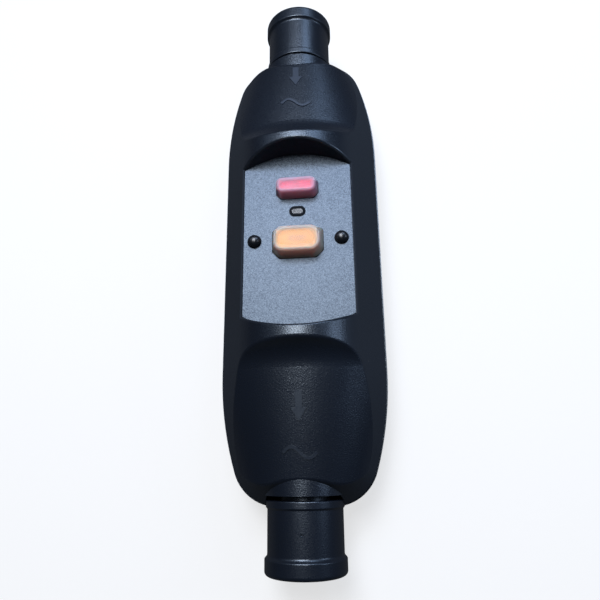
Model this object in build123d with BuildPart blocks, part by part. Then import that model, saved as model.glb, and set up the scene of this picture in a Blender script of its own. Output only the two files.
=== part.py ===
from build123d import *
import os
from itertools import combinations
from math import cos, radians, sin, sqrt, tan

os.makedirs("parts", exist_ok=True)

# Portable residual current device: a hand-sized safety switch in line with a cord.
# +Y is the supply end, +X is to the right, +Z is the button side, and the origin
# is under the middle of the flat back. All sizes are in millimetres.

# Body shells
AXIS_Z = 19.0             # cord axis and parting plane, above the back
CROWN_RADIUS = 24.0       # rounded top of the front shell, seen from the end
CROWN_CENTRE = 1.2        # centre of that arc above the cord axis
FLANK_TAPER = 33.0        # lean of the front flanks, degrees
HALF_WIDTH = CROWN_RADIUS / cos(radians(FLANK_TAPER)) + CROWN_CENTRE * tan(radians(FLANK_TAPER))
LAND_SET = 0.6            # the front rim stands in by this from the rear rim
STRAIGHT_HALF = 42.0      # straight part of the long sides
SIDE_RADIUS = 112.0       # gentle narrowing towards the ends
SIDE_TURN = 17.4          # degrees of that arc
CORNER_RADIUS = 15.5      # end corners
TAPER_RISE = 22.6         # height over which the ends lean in with the flanks
CROWN_BLOCK = 80.0        # length over which the full crown is kept, off centre by 2
CROWN_BLOCK_Y = 2.0
WALL = 2.4
REAR_TAPER = 5.0
REAR_EDGE = 5.0           # rounding round the flat back
SEAM = 0.8                # height of the groove at the parting line
SEAM_DEPTH = 1.2          # how far the gasket lies behind the rim
END_WALL_OUT = 82.3       # outer face of the end walls
END_WALL_IN = 77.5
NOSE_RADIUS = 13.75
NOSE_START = 70.0

# End scoops: a sloped, crowned floor behind a rounded drop
FLOOR_Y = 44.5
FLOOR_Z = AXIS_Z + 18.6
FLOOR_SLOPE = 0.144
DROP_RADIUS = 11.2
SCOOP_STARTS = {"line": 39.9, "load": 33.3}
# Crown radius and half-width of the floor where a scoop starts, then the same further along the cord
SCOOP_START_FORM = (50.0, 28.0)
SCOOP_FORMS = {60.0: (34.0, 27.0), 75.0: (28.5, 24.0), 88.0: (22.0, 20.0)}
SCOOP_EDGE = 1.4          # rounding where a floor meets the crown and the flanks
RIDGE_EDGE = 0.8          # rounding of the ridges on the plate's side
RIM_EDGE = 0.4

# Hollow under a scoop: where it starts behind the drop, then its forms along the cord
CORE_SET = 13.2
CORE_START_FORM = (39.0, 24.0)
CORE_FORMS = {64.0: (29.5, 23.0), END_WALL_IN: (24.0, 19.0)}

# Recess with the metal plate
PLATE_Y = 3.35
PLATE_HALF_WIDTH = 19.4
PLATE_HALF_LENGTH = 33.45
PLATE_END_RADIUS = 36.6
PLATE_THICK = 1.0
PLATE_EDGE = 0.2
PLATE_GAP = 0.1
PLATE_TOP = AXIS_Z + 14.3
PLATE_SEAT = PLATE_TOP - PLATE_THICK
CEILING = AXIS_Z + 10.6   # underside of the wall below the plate

# Buttons, their silicone boots and what they press
BOOT_FLANGE = 0.8
BOOT_FLANGE_REACH = 1.4
BUTTON_GAP = 0.3
BUTTON_FLANGE_TOP = CEILING - 0.4
BUTTON_FLANGE = 1.4
BUTTON_FLANGE_REACH = 1.6
BUTTONS = {
    "reset": {
        "y": 1.4, "width": 18.0, "length": 11.0, "corner": 1.6, "cut": 2.6, "height": 5.7,
        "taper": 10.0, "boot_wall": 0.8, "post": 2.2, "post_end": 18.0,
        "spring": 3.5, "wire": 0.6, "turns": 4, "seat": 21.6,
    },
    "test": {
        "y": 22.1, "width": 15.2, "length": 6.6, "corner": 1.0, "cut": 1.7, "height": 5.2,
        "taper": 6.0, "boot_wall": 0.7, "post": 1.3, "post_end": 24.0,
        "spring": 2.3, "wire": 0.45, "turns": 3, "seat": 24.4,
    },
}
WINDOW_Y = 13.75
WINDOW = (5.3, 3.5)
STUDS = ((-15.4, 2.8), (15.4, 2.8))
STUD_HEAD = 2.25
STUD_SHANK = 1.2

# Cord glands
COLLAR_END = 106.4
COLLAR_START = 83.8
COLLAR_RADIUS = 12.5
COLLAR_RING = 13.0
RING_LENGTH = 2.2
LIP_RADIUS = 13.4
LIP_LENGTH = 5.0
LIP_RIM = 1.3             # rounding of the lip's outer end
LIP_FLARE = 1.2           # hollow rounding where the barrel runs into the lip
GATE_MARK_Y = -93.6       # small moulding dimple on top of the load collar
GATE_MARK = 0.55
NECK_RADIUS = 9.0
NECK_FLANGE = 10.4
NECK_BORE = 5.2
GROMMET_RADIUS = 8.6
GROMMET_START = 88.4
GROMMET_END = 104.8
CORD_RADIUS = 4.7
GLAND_RIB = 2.2           # inner wall that traps the collar's flange
GLAND_RIB_END = 74.8
ENDS = {"line": 1, "load": -1}

# Inside the housing
FLOOR = 2.4
SHELL_SCREWS = [(x * side, y) for side in (1, -1) for x, y in ((21.5, 58), (23.2, PLATE_Y), (21.5, -58))]
BOSS_RADIUS = 4.2
WELL_RADIUS = 3.2
WELL_DEPTH = 9.0
SCREW_RADIUS = 1.4
BOARD_BOTTOM = 20.0
BOARD_THICK = 1.6
BOARD_TOP = BOARD_BOTTOM + BOARD_THICK
BOARD_Y = 7.0
BOARD = (35.0, 58.0)
BOARD_SCREWS = [(x, y) for x in (-14.5, 14.5) for y in (-18, 32)]
CLAMP_Y = 69.0
CLAMP_SCREW_X = 10.5
CLAMP_SEAT = 15.0
CLAMP_TOP = 25.0
CLAMP_WIDTH = 6.4
CLAMP_HALF = 14.0         # half-width at the seat
CLAMP_TOP_HALF = 7.0
CLAMP_EAR = 5.0           # height of the bar's ends
CLAMP_SCREW_SEAT = CLAMP_SEAT + 4
CLAMP_RELIEF = (5.0, 3.0)
TERMINAL_Y = 48.0
TERMINAL_X = (-8.0, 8.0, 17.0)
TERMINAL = (6.6, 9.0, 8.0)
TERMINAL_SEAT = 8.0
TERMINAL_HOLE = (1.8, TERMINAL_SEAT + 3)      # radius and height of the wire's hole
TERMINAL_SCREW_SET = 1.6  # the screws stand off the middle by this
LEAD_RADIUS = 1.1
STRAP = (2.6, 1.2)
TOROID_Y = -28.0
TOROID_Z = 11.3
TOROID_RADIUS = 8.4
TOROID_BORE = 4.2
TOROID_WIDTH = 9.0
CORE_RADIUS = 7.2
CORE_HALF = 3.2

# Screws: head radius, head height, shank radius, shank length
SHANK_GAP = 0.03
CLAMP_SCREW = (2.5, 1.8, SCREW_RADIUS - SHANK_GAP, 10.0)
SHELL_SCREW = (2.9, 2.2, SCREW_RADIUS - SHANK_GAP, AXIS_Z + 4.5 - WELL_DEPTH)
BOARD_SCREW = (1.9, 1.3, 0.95 - SHANK_GAP, BOARD_THICK + 5.5)
TERMINAL_SCREW = (2.3, 1.6, 1.4, 2.5)

# What is soldered to the board
CHIP_PLACE = (-10.0, -12.0)
CHIP = (8.0, 6.0, 1.6)
CHIP_STAND = 0.5
CHIP_LEG = (0.6, 1.2, 1.1)
CHIP_LEGS = [(x, y) for x in (-2.7, -0.9, 0.9, 2.7) for y in (-3.4, 3.4)]
TEST_SWITCH = 6.2
VARISTOR_PLACE = (18.0, 13.6)                 # place along the cord and height
VARISTOR = (4.6, 3.4)                         # radius and thickness
VARISTOR_LEG_X = 2.4
CAPACITOR_Y = 28.5
CAPACITOR = (4.0, 11.0)
RESISTOR_X = (10.0, 13.2, 16.4)
RESISTOR_Y = -6.25
RESISTOR_Z = BOARD_TOP + 1.5
RESISTOR = (1.1, 6.5)
RESISTOR_LEG = (0.35, 4.9)                    # radius, and reach from the middle
BOARD_LEG = 0.4

# Switch mechanism under the reset button
MECH_Y = BUTTONS["reset"]["y"]
CARRIER_TOP = 17.7
CARRIER_BOTTOM = 14.7
CARRIER = (27.0, 11.0)
POLE_X = 9.0
CONTACT_REACH = 8.0       # contacts before and behind the middle of the mechanism
STRIP_THICK = 0.8
STRIP_WIDTH = 3.2
STRIP_END = 15.0
FIXED_STRIP_Z = 9.6
FRAME_TOP = 4.0
FRAME_SIDE = 31.0
PEDESTAL = (STRIP_WIDTH + 0.8, 4.4)
PEDESTAL_Y = 12.8
RAIL = (1.6, 12.0)
RAIL_X = 14.6
CONTACT_RADIUS = 1.4
FIXED_CONTACT = 0.55
MOVING_CONTACT = 0.6
ARMATURE = (8.4, 19.4, 1.2)
YOKE_TOP = 11.1
YOKE_WIDTH = 8.0
YOKE_HALF = 9.8
YOKE_THICK = 1.4
YOKE_FOOT = 1.2
POLE_RADIUS = 2.4
BOBBIN_RADIUS = 7.2
BOBBIN_CORE = 3.3
BOBBIN_HEIGHT = 5.6
BOBBIN_FLANGE = 0.8
WINDING_RADIUS = 6.8
OPENING_SPRING_X = 12.1
OPENING_SPRING = (1.05, 0.4, 6)               # radius, wire, turns
UPRIGHT = (Align.CENTER, Align.CENTER, Align.MIN)
HANGING = (Align.CENTER, Align.CENTER, Align.MAX)


def arc_sag(radius, reach):
    """Height of an arc's top above its points at the given reach from the middle."""
    return radius - sqrt(radius**2 - reach**2)


def body_outline(inset):
    """Plan outline of the body, drawn in by the inset."""
    with BuildSketch() as outline:
        with BuildLine():
            flank = Line((HALF_WIDTH - inset, 0), (HALF_WIDTH - inset, STRAIGHT_HALF))
            side = JernArc(flank @ 1, flank % 1, SIDE_RADIUS - inset, SIDE_TURN)
            corner = JernArc(side @ 1, side % 1, CORNER_RADIUS - inset, 90 - SIDE_TURN)
            Line(corner @ 1, (0, (corner @ 1).Y))
            mirror(about=Plane.YZ)
            mirror(about=Plane.XZ)
        make_face()
    return outline.sketch


def crown_section():
    """Cross-section of the front shell: a crown arc that runs into leaning flanks."""
    tangent_x = CROWN_RADIUS * cos(radians(FLANK_TAPER))
    tangent_z = AXIS_Z + CROWN_CENTRE + CROWN_RADIUS * sin(radians(FLANK_TAPER))
    crest = AXIS_Z + CROWN_CENTRE + CROWN_RADIUS
    with BuildSketch() as section:
        with BuildLine():
            crown = ThreePointArc((-tangent_x, tangent_z), (0, crest), (tangent_x, tangent_z))
            Polyline(crown @ 1, (HALF_WIDTH, AXIS_Z), (-HALF_WIDTH, AXIS_Z), crown @ 0)
        make_face()
    return section.sketch


def plate_outline(half_width, grow):
    """Plan shape between the two ridges: straight sides, arched ends."""
    radius = PLATE_END_RADIUS + grow
    reach = PLATE_HALF_LENGTH + grow
    corner = reach - arc_sag(radius, half_width)
    with BuildSketch() as outline:
        with BuildLine():
            top = ThreePointArc(
                (-half_width, PLATE_Y + corner), (0, PLATE_Y + reach), (half_width, PLATE_Y + corner)
            )
            bottom = ThreePointArc(
                (-half_width, PLATE_Y - corner), (0, PLATE_Y - reach), (half_width, PLATE_Y - corner)
            )
            Line(top @ 0, bottom @ 0)
            Line(top @ 1, bottom @ 1)
        make_face()
    return outline.sketch


def scoop_section(distance, form, drop, far_z):
    """Section across a scoop: a crowned floor, closed off at the given height."""
    radius, reach = form
    top = FLOOR_Z - FLOOR_SLOPE * (distance - FLOOR_Y) - drop
    edge = top - arc_sag(radius, reach)
    with BuildSketch() as section:
        with BuildLine():
            floor = ThreePointArc((-reach, edge), (0, top), (reach, edge))
            Polyline(floor @ 1, (reach, far_z), (-reach, far_z), floor @ 0)
        make_face()
    return section.sketch


def scoop_cutter(end):
    """What is scooped out of the crown towards one end."""
    with BuildPart() as cutter:
        for distance, form in {SCOOP_STARTS[end]: SCOOP_START_FORM, **SCOOP_FORMS}.items():
            with BuildSketch(Plane.XZ.offset(-distance)):
                add(scoop_section(distance, form, 0, 2 * AXIS_Z + CROWN_RADIUS))
        loft()
        fillet(cutter.faces().sort_by(Axis.Y)[0].edges().sort_by(Axis.Z)[0], DROP_RADIUS)
    return cutter.part if end == "line" else cutter.part.mirror(Plane.XZ)


def scoop_headroom(end):
    """Hollow under one scoop, a wall's thickness below its floor."""
    with BuildPart() as headroom:
        for distance, form in {SCOOP_STARTS[end] + CORE_SET: CORE_START_FORM, **CORE_FORMS}.items():
            with BuildSketch(Plane.XZ.offset(-distance)):
                add(scoop_section(distance, form, WALL, AXIS_Z))
        loft()
    return headroom.part if end == "line" else headroom.part.mirror(Plane.XZ)


def button_outline(button, grow):
    """Plan shape of a button: round upper corners, cut lower corners."""
    with BuildSketch() as outline:
        Rectangle(button["width"] + 2 * grow, button["length"] + 2 * grow)
        fillet(outline.vertices().group_by(Axis.Y)[-1], max(button["corner"] + grow, 0.3))
        chamfer(outline.vertices().group_by(Axis.Y)[0], max(button["cut"] + (2 - sqrt(2)) * grow, 0.4))
    return outline.sketch


def button_top_set(button):
    """How far the top of a boot is drawn in by its taper."""
    return button["height"] * tan(radians(button["taper"]))


def button_set(button):
    """How far the button inside is drawn in from the foot of its boot."""
    return button_top_set(button) + button["boot_wall"] + 0.15


def gland_plane(side):
    """Plane through the cord axis: local x runs outward along the cord, local y is the radius."""
    return Plane(origin=(0, 0, AXIS_Z), x_dir=(0, side, 0), z_dir=(side, 0, 0))


CORD_AXIS = Axis((0, 0, AXIS_Z), (0, 1, 0))


def cross_plane(y):
    """Upright plane across the cord at the given place along it."""
    return Plane(origin=(0, y, 0), x_dir=(1, 0, 0), z_dir=(0, -1, 0))


def rod_along_cord(y_from, y_to, radius, x=0.0, z=AXIS_Z):
    """Plain round bar parallel to the cord."""
    with BuildPart() as rod:
        with BuildSketch(cross_plane(y_from)):
            with Locations((x, z)):
                Circle(radius)
        extrude(amount=y_from - y_to)
    return rod.part


def end_cut(side):
    """Opening for one gland: neck hole, flange pocket, and the cradle for the collar outside."""
    with BuildPart() as cut:
        add(rod_along_cord(side * (NOSE_START + 2), side * (END_WALL_OUT + 1), NECK_RADIUS + 0.05))
        add(rod_along_cord(side * GLAND_RIB_END, side * END_WALL_IN, NECK_FLANGE + 0.1))
        add(rod_along_cord(side * END_WALL_OUT, side * COLLAR_END, COLLAR_RING + 0.1))
    return cut.part


def gland_rib(side, z_from, z_to):
    """Inner wall that holds a collar's flange against the end wall."""
    with BuildPart() as rib:
        with BuildSketch(Plane.XY.offset(z_from)):
            with Locations((0, side * (GLAND_RIB_END - GLAND_RIB / 2))):
                Rectangle(2 * HALF_WIDTH, GLAND_RIB)
        extrude(amount=z_to - z_from)
    return rib.part


def crest_edges(part):
    """The edge at each end of the crown's middle part, where it crosses the crest."""
    crest = AXIS_Z + CROWN_CENTRE + CROWN_RADIUS
    across = part.edges().filter_by(lambda edge: abs(edge.center().X) < 0.1 and edge.center().Z > crest - 1)
    return across.sort_by(lambda edge: abs(edge.center().Y - PLATE_Y))[:2]


# Front shell, outside
with BuildPart() as front_form:
    with BuildSketch(Plane.XY.offset(AXIS_Z)):
        add(body_outline(0))
    extrude(amount=TAPER_RISE, taper=FLANK_TAPER)
    with BuildSketch(Plane.XY.offset(AXIS_Z)):
        with Locations((0, CROWN_BLOCK_Y)):
            Rectangle(3 * HALF_WIDTH, CROWN_BLOCK)
    extrude(amount=CROWN_CENTRE + CROWN_RADIUS + 1)
    with BuildSketch(Plane.XZ):
        add(crown_section())
    extrude(amount=COLLAR_END, both=True, mode=Mode.INTERSECT)
    with BuildSketch(Plane.XY.offset(AXIS_Z)):
        add(body_outline(LAND_SET))
    extrude(amount=AXIS_Z + CROWN_RADIUS, mode=Mode.INTERSECT)
    fillet(front_form.faces().sort_by(Axis.Z)[0].edges(), RIM_EDGE)
    for end in ENDS:
        add(scoop_cutter(end), mode=Mode.SUBTRACT)
    fillet(crest_edges(front_form), SCOOP_EDGE)
    for side in ENDS.values():
        add(rod_along_cord(side * NOSE_START, side * END_WALL_OUT, NOSE_RADIUS))
    split(bisect_by=Plane.XY.offset(AXIS_Z), keep=Keep.TOP)
    with BuildSketch(Plane.XY.offset(PLATE_TOP)):
        add(plate_outline(CROWN_RADIUS, PLATE_GAP))
    extrude(amount=CROWN_RADIUS, mode=Mode.SUBTRACT)
    fillet(crest_edges(front_form), RIDGE_EDGE)
    with BuildSketch(Plane.XY.offset(PLATE_SEAT)):
        add(plate_outline(PLATE_HALF_WIDTH + PLATE_GAP, PLATE_GAP))
    extrude(amount=2 * PLATE_THICK, mode=Mode.SUBTRACT)

# Hollow of the front shell: level under the plate, following the scoops at the ends
with BuildPart() as front_core:
    level_from = -SCOOP_STARTS["load"] - CORE_SET
    level_to = SCOOP_STARTS["line"] + CORE_SET
    with BuildSketch(Plane.XY.offset(AXIS_Z)):
        with Locations((0, (level_from + level_to) / 2)):
            Rectangle(2 * HALF_WIDTH, level_to - level_from)
    extrude(amount=CEILING - AXIS_Z)
    for end in ENDS:
        add(scoop_headroom(end))
    with BuildSketch(Plane.XY.offset(AXIS_Z)):
        add(body_outline(WALL / cos(radians(FLANK_TAPER))))
    extrude(amount=18, taper=FLANK_TAPER, mode=Mode.INTERSECT)

# Bosses and ribs that stand in the hollow, cut to the shell's own form
with BuildPart() as front_inside:
    with BuildSketch(Plane.XY.offset(AXIS_Z)):
        with Locations(*SHELL_SCREWS):
            Circle(BOSS_RADIUS - 1)
    extrude(amount=CEILING - AXIS_Z)
    with BuildSketch(Plane.XY.offset(BOARD_TOP)):
        with Locations(*BOARD_SCREWS):
            Circle(2.4)
    extrude(amount=CEILING + 1 - BOARD_TOP)
    for side in ENDS.values():
        add(gland_rib(side, AXIS_Z, AXIS_Z + 14))
    add(front_form.part, mode=Mode.INTERSECT)

with BuildPart() as front_shell:
    add(front_form.part)
    add(front_core.part, mode=Mode.SUBTRACT)
    add(front_inside.part)
    for side in ENDS.values():
        add(end_cut(side), mode=Mode.SUBTRACT)
    with BuildSketch(Plane.XY.offset(AXIS_Z)):
        with Locations(*SHELL_SCREWS):
            Circle(SCREW_RADIUS)
    extrude(amount=5, mode=Mode.SUBTRACT)
    with BuildSketch(Plane.XY.offset(BOARD_TOP)):
        with Locations(*BOARD_SCREWS):
            Circle(0.95)
    extrude(amount=6, mode=Mode.SUBTRACT)
    for button in BUTTONS.values():
        with BuildSketch(Plane.XY.offset(CEILING - 1)):
            with Locations((0, button["y"])):
                add(button_outline(button, BUTTON_GAP - button_set(button)))
        extrude(amount=2 * PLATE_THICK + 4, mode=Mode.SUBTRACT)
        with BuildSketch(Plane.XY.offset(PLATE_SEAT - BOOT_FLANGE)):
            with Locations((0, button["y"])):
                add(button_outline(button, BOOT_FLANGE_REACH))
        extrude(amount=BOOT_FLANGE, mode=Mode.SUBTRACT)
    with BuildSketch(Plane.XY.offset(CEILING - 1)):
        with Locations((0, WINDOW_Y)):
            RectangleRounded(*WINDOW, 1.2)
        with Locations(*STUDS):
            Circle(STUD_SHANK)
    extrude(amount=2 * PLATE_THICK + 4, mode=Mode.SUBTRACT)
front_shell.part.label = "front_shell"
export_step(front_shell.part, "parts/front_shell.step")

# Rear shell: a tub with a flat back
BACK_DOWN = Plane(origin=(0, 0, AXIS_Z), x_dir=(1, 0, 0), z_dir=(0, 0, -1))
with BuildPart() as rear_form:
    with BuildSketch(BACK_DOWN):
        add(body_outline(0))
    extrude(amount=AXIS_Z, taper=REAR_TAPER)
    fillet(rear_form.faces().sort_by(Axis.Z)[0].edges(), REAR_EDGE)

with BuildPart() as rear_core:
    with BuildSketch(BACK_DOWN):
        add(body_outline(WALL))
    extrude(amount=AXIS_Z - FLOOR, taper=REAR_TAPER)
    fillet(rear_core.faces().sort_by(Axis.Z)[0].edges(), REAR_EDGE - WALL)
    with BuildSketch(Plane.XY):
        Rectangle(2 * HALF_WIDTH, 2 * END_WALL_IN)
    extrude(amount=AXIS_Z, mode=Mode.INTERSECT)

with BuildPart() as rear_inside:
    with BuildSketch():
        with Locations(*SHELL_SCREWS):
            Circle(BOSS_RADIUS)
    extrude(amount=AXIS_Z)
    for side in ENDS.values():
        add(gland_rib(side, 1, AXIS_Z))
        with BuildSketch(Plane.XY.offset(1)):
            with Locations((CLAMP_SCREW_X, side * CLAMP_Y), (-CLAMP_SCREW_X, side * CLAMP_Y)):
                Circle(3)
            with Locations((0, side * CLAMP_Y)):
                Rectangle(2 * CLAMP_SCREW_X, GLAND_RIB)
        extrude(amount=CLAMP_SEAT - 1)
        with BuildSketch(Plane.XY.offset(1)):
            with Locations(*[(x, side * TERMINAL_Y) for x in TERMINAL_X]):
                Rectangle(TERMINAL[0], TERMINAL[1])
        extrude(amount=TERMINAL_SEAT - 1)
    with BuildSketch(Plane.XY.offset(1)):
        with Locations((0, TOROID_Y)):
            Rectangle(2 * TOROID_RADIUS + 2, TOROID_WIDTH - 3)
    extrude(amount=TOROID_Z - TOROID_RADIUS + 4)
    add(rear_form.part, mode=Mode.INTERSECT)

with BuildPart() as rear_shell:
    add(rear_form.part)
    add(rear_core.part, mode=Mode.SUBTRACT)
    add(rear_inside.part)
    for side in ENDS.values():
        add(end_cut(side), mode=Mode.SUBTRACT)
        add(rod_along_cord(side * 60, side * 72, CORD_RADIUS), mode=Mode.SUBTRACT)
    add(rod_along_cord(TOROID_Y - 5, TOROID_Y + 5, TOROID_RADIUS, 0, TOROID_Z), mode=Mode.SUBTRACT)
    with BuildSketch():
        with Locations(*SHELL_SCREWS):
            Circle(WELL_RADIUS)
    extrude(amount=WELL_DEPTH, mode=Mode.SUBTRACT)
    with BuildSketch():
        with Locations(*SHELL_SCREWS):
            Circle(SCREW_RADIUS + 0.2)
    extrude(amount=AXIS_Z, mode=Mode.SUBTRACT)
    with BuildSketch(Plane.XY.offset(CLAMP_SEAT)):
        with Locations(*[(x, y) for x in (-CLAMP_SCREW_X, CLAMP_SCREW_X) for y in (-CLAMP_Y, CLAMP_Y)]):
            Circle(SCREW_RADIUS)
    extrude(amount=-8, mode=Mode.SUBTRACT)
    with BuildSketch(Plane.XY.offset(AXIS_Z - SEAM)):
        add(body_outline(-1))
        add(body_outline(WALL), mode=Mode.SUBTRACT)
    extrude(amount=2 * SEAM, mode=Mode.SUBTRACT)
rear_shell.part.label = "rear_shell"
export_step(rear_shell.part, "parts/rear_shell.step")

# Gasket in the seam: two rubber strips that end at the collars
with BuildPart() as shell_gasket:
    with BuildSketch(Plane.XY.offset(AXIS_Z - SEAM)):
        add(body_outline(SEAM_DEPTH))
        add(body_outline(WALL), mode=Mode.SUBTRACT)
    extrude(amount=SEAM)
    for side in ENDS.values():
        add(end_cut(side), mode=Mode.SUBTRACT)
shell_gasket.part.label = "shell_gasket"
export_step(shell_gasket.part, "parts/shell_gasket.step")

# Metal plate between the ridges
with BuildPart() as face_plate:
    with BuildSketch(Plane.XY.offset(PLATE_SEAT)):
        add(plate_outline(PLATE_HALF_WIDTH, 0))
        for button in BUTTONS.values():
            with Locations((0, button["y"])):
                add(button_outline(button, 0.15), mode=Mode.SUBTRACT)
        with Locations((0, WINDOW_Y)):
            RectangleRounded(*WINDOW, 1.2, mode=Mode.SUBTRACT)
        with Locations(*STUDS):
            Circle(STUD_SHANK, mode=Mode.SUBTRACT)
    extrude(amount=PLATE_THICK)
    fillet(face_plate.faces().sort_by(Axis.Z)[-1].outer_wire().edges(), PLATE_EDGE)
face_plate.part.label = "face_plate"
export_step(face_plate.part, "parts/face_plate.step")

# Two domed studs that hold the plate down
with BuildPart() as plate_studs:
    with Locations(*[Location((x, y, PLATE_TOP)) for x, y in STUDS]):
        Cylinder(STUD_HEAD, 1.2, align=UPRIGHT)
    with Locations(*[Location((x, y, PLATE_TOP + 1.2)) for x, y in STUDS]):
        Sphere(STUD_HEAD, arc_size1=0)
    with Locations(*[Location((x, y, CEILING - 0.6)) for x, y in STUDS]):
        Cylinder(STUD_SHANK, PLATE_TOP - CEILING + 0.6, align=UPRIGHT)
plate_studs.part.label = "plate_studs"
export_step(plate_studs.part, "parts/plate_studs.step")

# Silicone boots over the buttons
for name, button in BUTTONS.items():
    with BuildPart() as boot_core:
        with BuildSketch(Plane.XY.offset(PLATE_SEAT - BOOT_FLANGE)):
            with Locations((0, button["y"])):
                add(button_outline(button, -button["boot_wall"]))
        extrude(amount=PLATE_TOP - PLATE_SEAT + BOOT_FLANGE)
        with BuildSketch(Plane.XY.offset(PLATE_TOP)):
            with Locations((0, button["y"])):
                add(button_outline(button, -button["boot_wall"]))
        extrude(amount=button["height"] - button["boot_wall"], taper=button["taper"])
    with BuildPart() as boot:
        with BuildSketch(Plane.XY.offset(PLATE_TOP)):
            with Locations((0, button["y"])):
                add(button_outline(button, 0))
        extrude(amount=button["height"], taper=button["taper"])
        fillet(boot.faces().sort_by(Axis.Z)[-1].edges(), 0.6)
        with BuildSketch(Plane.XY.offset(PLATE_SEAT)):
            with Locations((0, button["y"])):
                add(button_outline(button, 0))
        extrude(amount=PLATE_THICK)
        with BuildSketch(Plane.XY.offset(PLATE_SEAT - BOOT_FLANGE)):
            with Locations((0, button["y"])):
                add(button_outline(button, BOOT_FLANGE_REACH - 0.1))
        extrude(amount=BOOT_FLANGE)
        add(boot_core.part, mode=Mode.SUBTRACT)
    boot.part.label = f"{name}_boot"
    export_step(boot.part, f"parts/{name}_boot.step")

# Coloured buttons under the boots
for name, button in BUTTONS.items():
    top = PLATE_TOP + button["height"] - button["boot_wall"] - 0.1
    with BuildPart() as push_button:
        with BuildSketch(Plane.XY.offset(BUTTON_FLANGE_TOP)):
            with Locations((0, button["y"])):
                add(button_outline(button, -button_set(button)))
        extrude(amount=top - BUTTON_FLANGE_TOP)
        fillet(push_button.faces().sort_by(Axis.Z)[-1].edges(), 0.4)
        with BuildSketch(Plane.XY.offset(BUTTON_FLANGE_TOP - BUTTON_FLANGE)):
            with Locations((0, button["y"])):
                add(button_outline(button, BUTTON_FLANGE_REACH - button_set(button)))
        extrude(amount=BUTTON_FLANGE)
        with BuildSketch(Plane.XY.offset(button["post_end"])):
            with Locations((0, button["y"])):
                Circle(button["post"])
        extrude(amount=BUTTON_FLANGE_TOP - BUTTON_FLANGE - button["post_end"])
    push_button.part.label = f"{name}_button"
    export_step(push_button.part, f"parts/{name}_button.step")


def least_gap(coil, wire, turns):
    """Least distance between two turns of a coil, measured on points half a turn or more apart."""
    steps = 24 * turns
    points = [(step, coil @ (step / steps)) for step in range(steps + 1)]
    far = [(one - other).length for (i, one), (j, other) in combinations(points, 2) if j - i >= 12]
    return min(far) - wire


def wound_spring(x, y, z_from, z_to, radius, wire, turns):
    """Helical spring between two seats, as one unbroken tube of round wire."""
    pitch = (z_to - z_from - wire) / turns
    with BuildPart() as spring:
        with BuildLine():
            coil = Helix(pitch, pitch * turns, radius, center=(x, y, z_from + wire / 2))
        with BuildSketch(Plane(origin=coil @ 0, z_dir=coil % 0)):
            Circle(wire / 2)
        sweep(path=coil, is_frenet=True)
    print(f"spring of radius {radius} mm: least gap between turns {least_gap(coil, wire, turns):.2f} mm")
    return spring.part


# Return springs of the two buttons
for name, button in BUTTONS.items():
    with BuildPart() as return_spring:
        add(wound_spring(
            0, button["y"], button["seat"], BUTTON_FLANGE_TOP - BUTTON_FLANGE,
            button["spring"], button["wire"], button["turns"],
        ))
    return_spring.part.label = f"{name}_spring"
    export_step(return_spring.part, f"parts/{name}_spring.step")

# Clear light pipe in the plate's small window, and the lamp behind it
with BuildPart() as light_pipe:
    with BuildSketch(Plane.XY.offset(CEILING)):
        with Locations((0, WINDOW_Y)):
            RectangleRounded(WINDOW[0] - 0.2, WINDOW[1] - 0.2, 1.1)
    extrude(amount=PLATE_TOP + 0.2 - CEILING)
    fillet(light_pipe.faces().sort_by(Axis.Z)[-1].edges(), 0.3)
    with BuildSketch(Plane.XY.offset(CEILING - 1)):
        with Locations((0, WINDOW_Y)):
            RectangleRounded(WINDOW[0] + 1.6, WINDOW[1] + 1.2, 1.2)
    extrude(amount=1)
    with BuildSketch(Plane.XY.offset(CEILING - 3.2)):
        with Locations((0, WINDOW_Y)):
            Circle(1.5)
    extrude(amount=2.2)
light_pipe.part.label = "light_pipe"
export_step(light_pipe.part, "parts/light_pipe.step")

with BuildPart() as status_lamp:
    with Locations((0, WINDOW_Y, BOARD_TOP)):
        Cylinder(1.9, 0.8, align=UPRIGHT)
        Cylinder(1.5, 2.6, align=UPRIGHT)
    with Locations((0, WINDOW_Y, BOARD_TOP + 2.6)):
        Sphere(1.5, arc_size1=0)
status_lamp.part.label = "status_lamp"
export_step(status_lamp.part, "parts/status_lamp.step")

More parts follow.
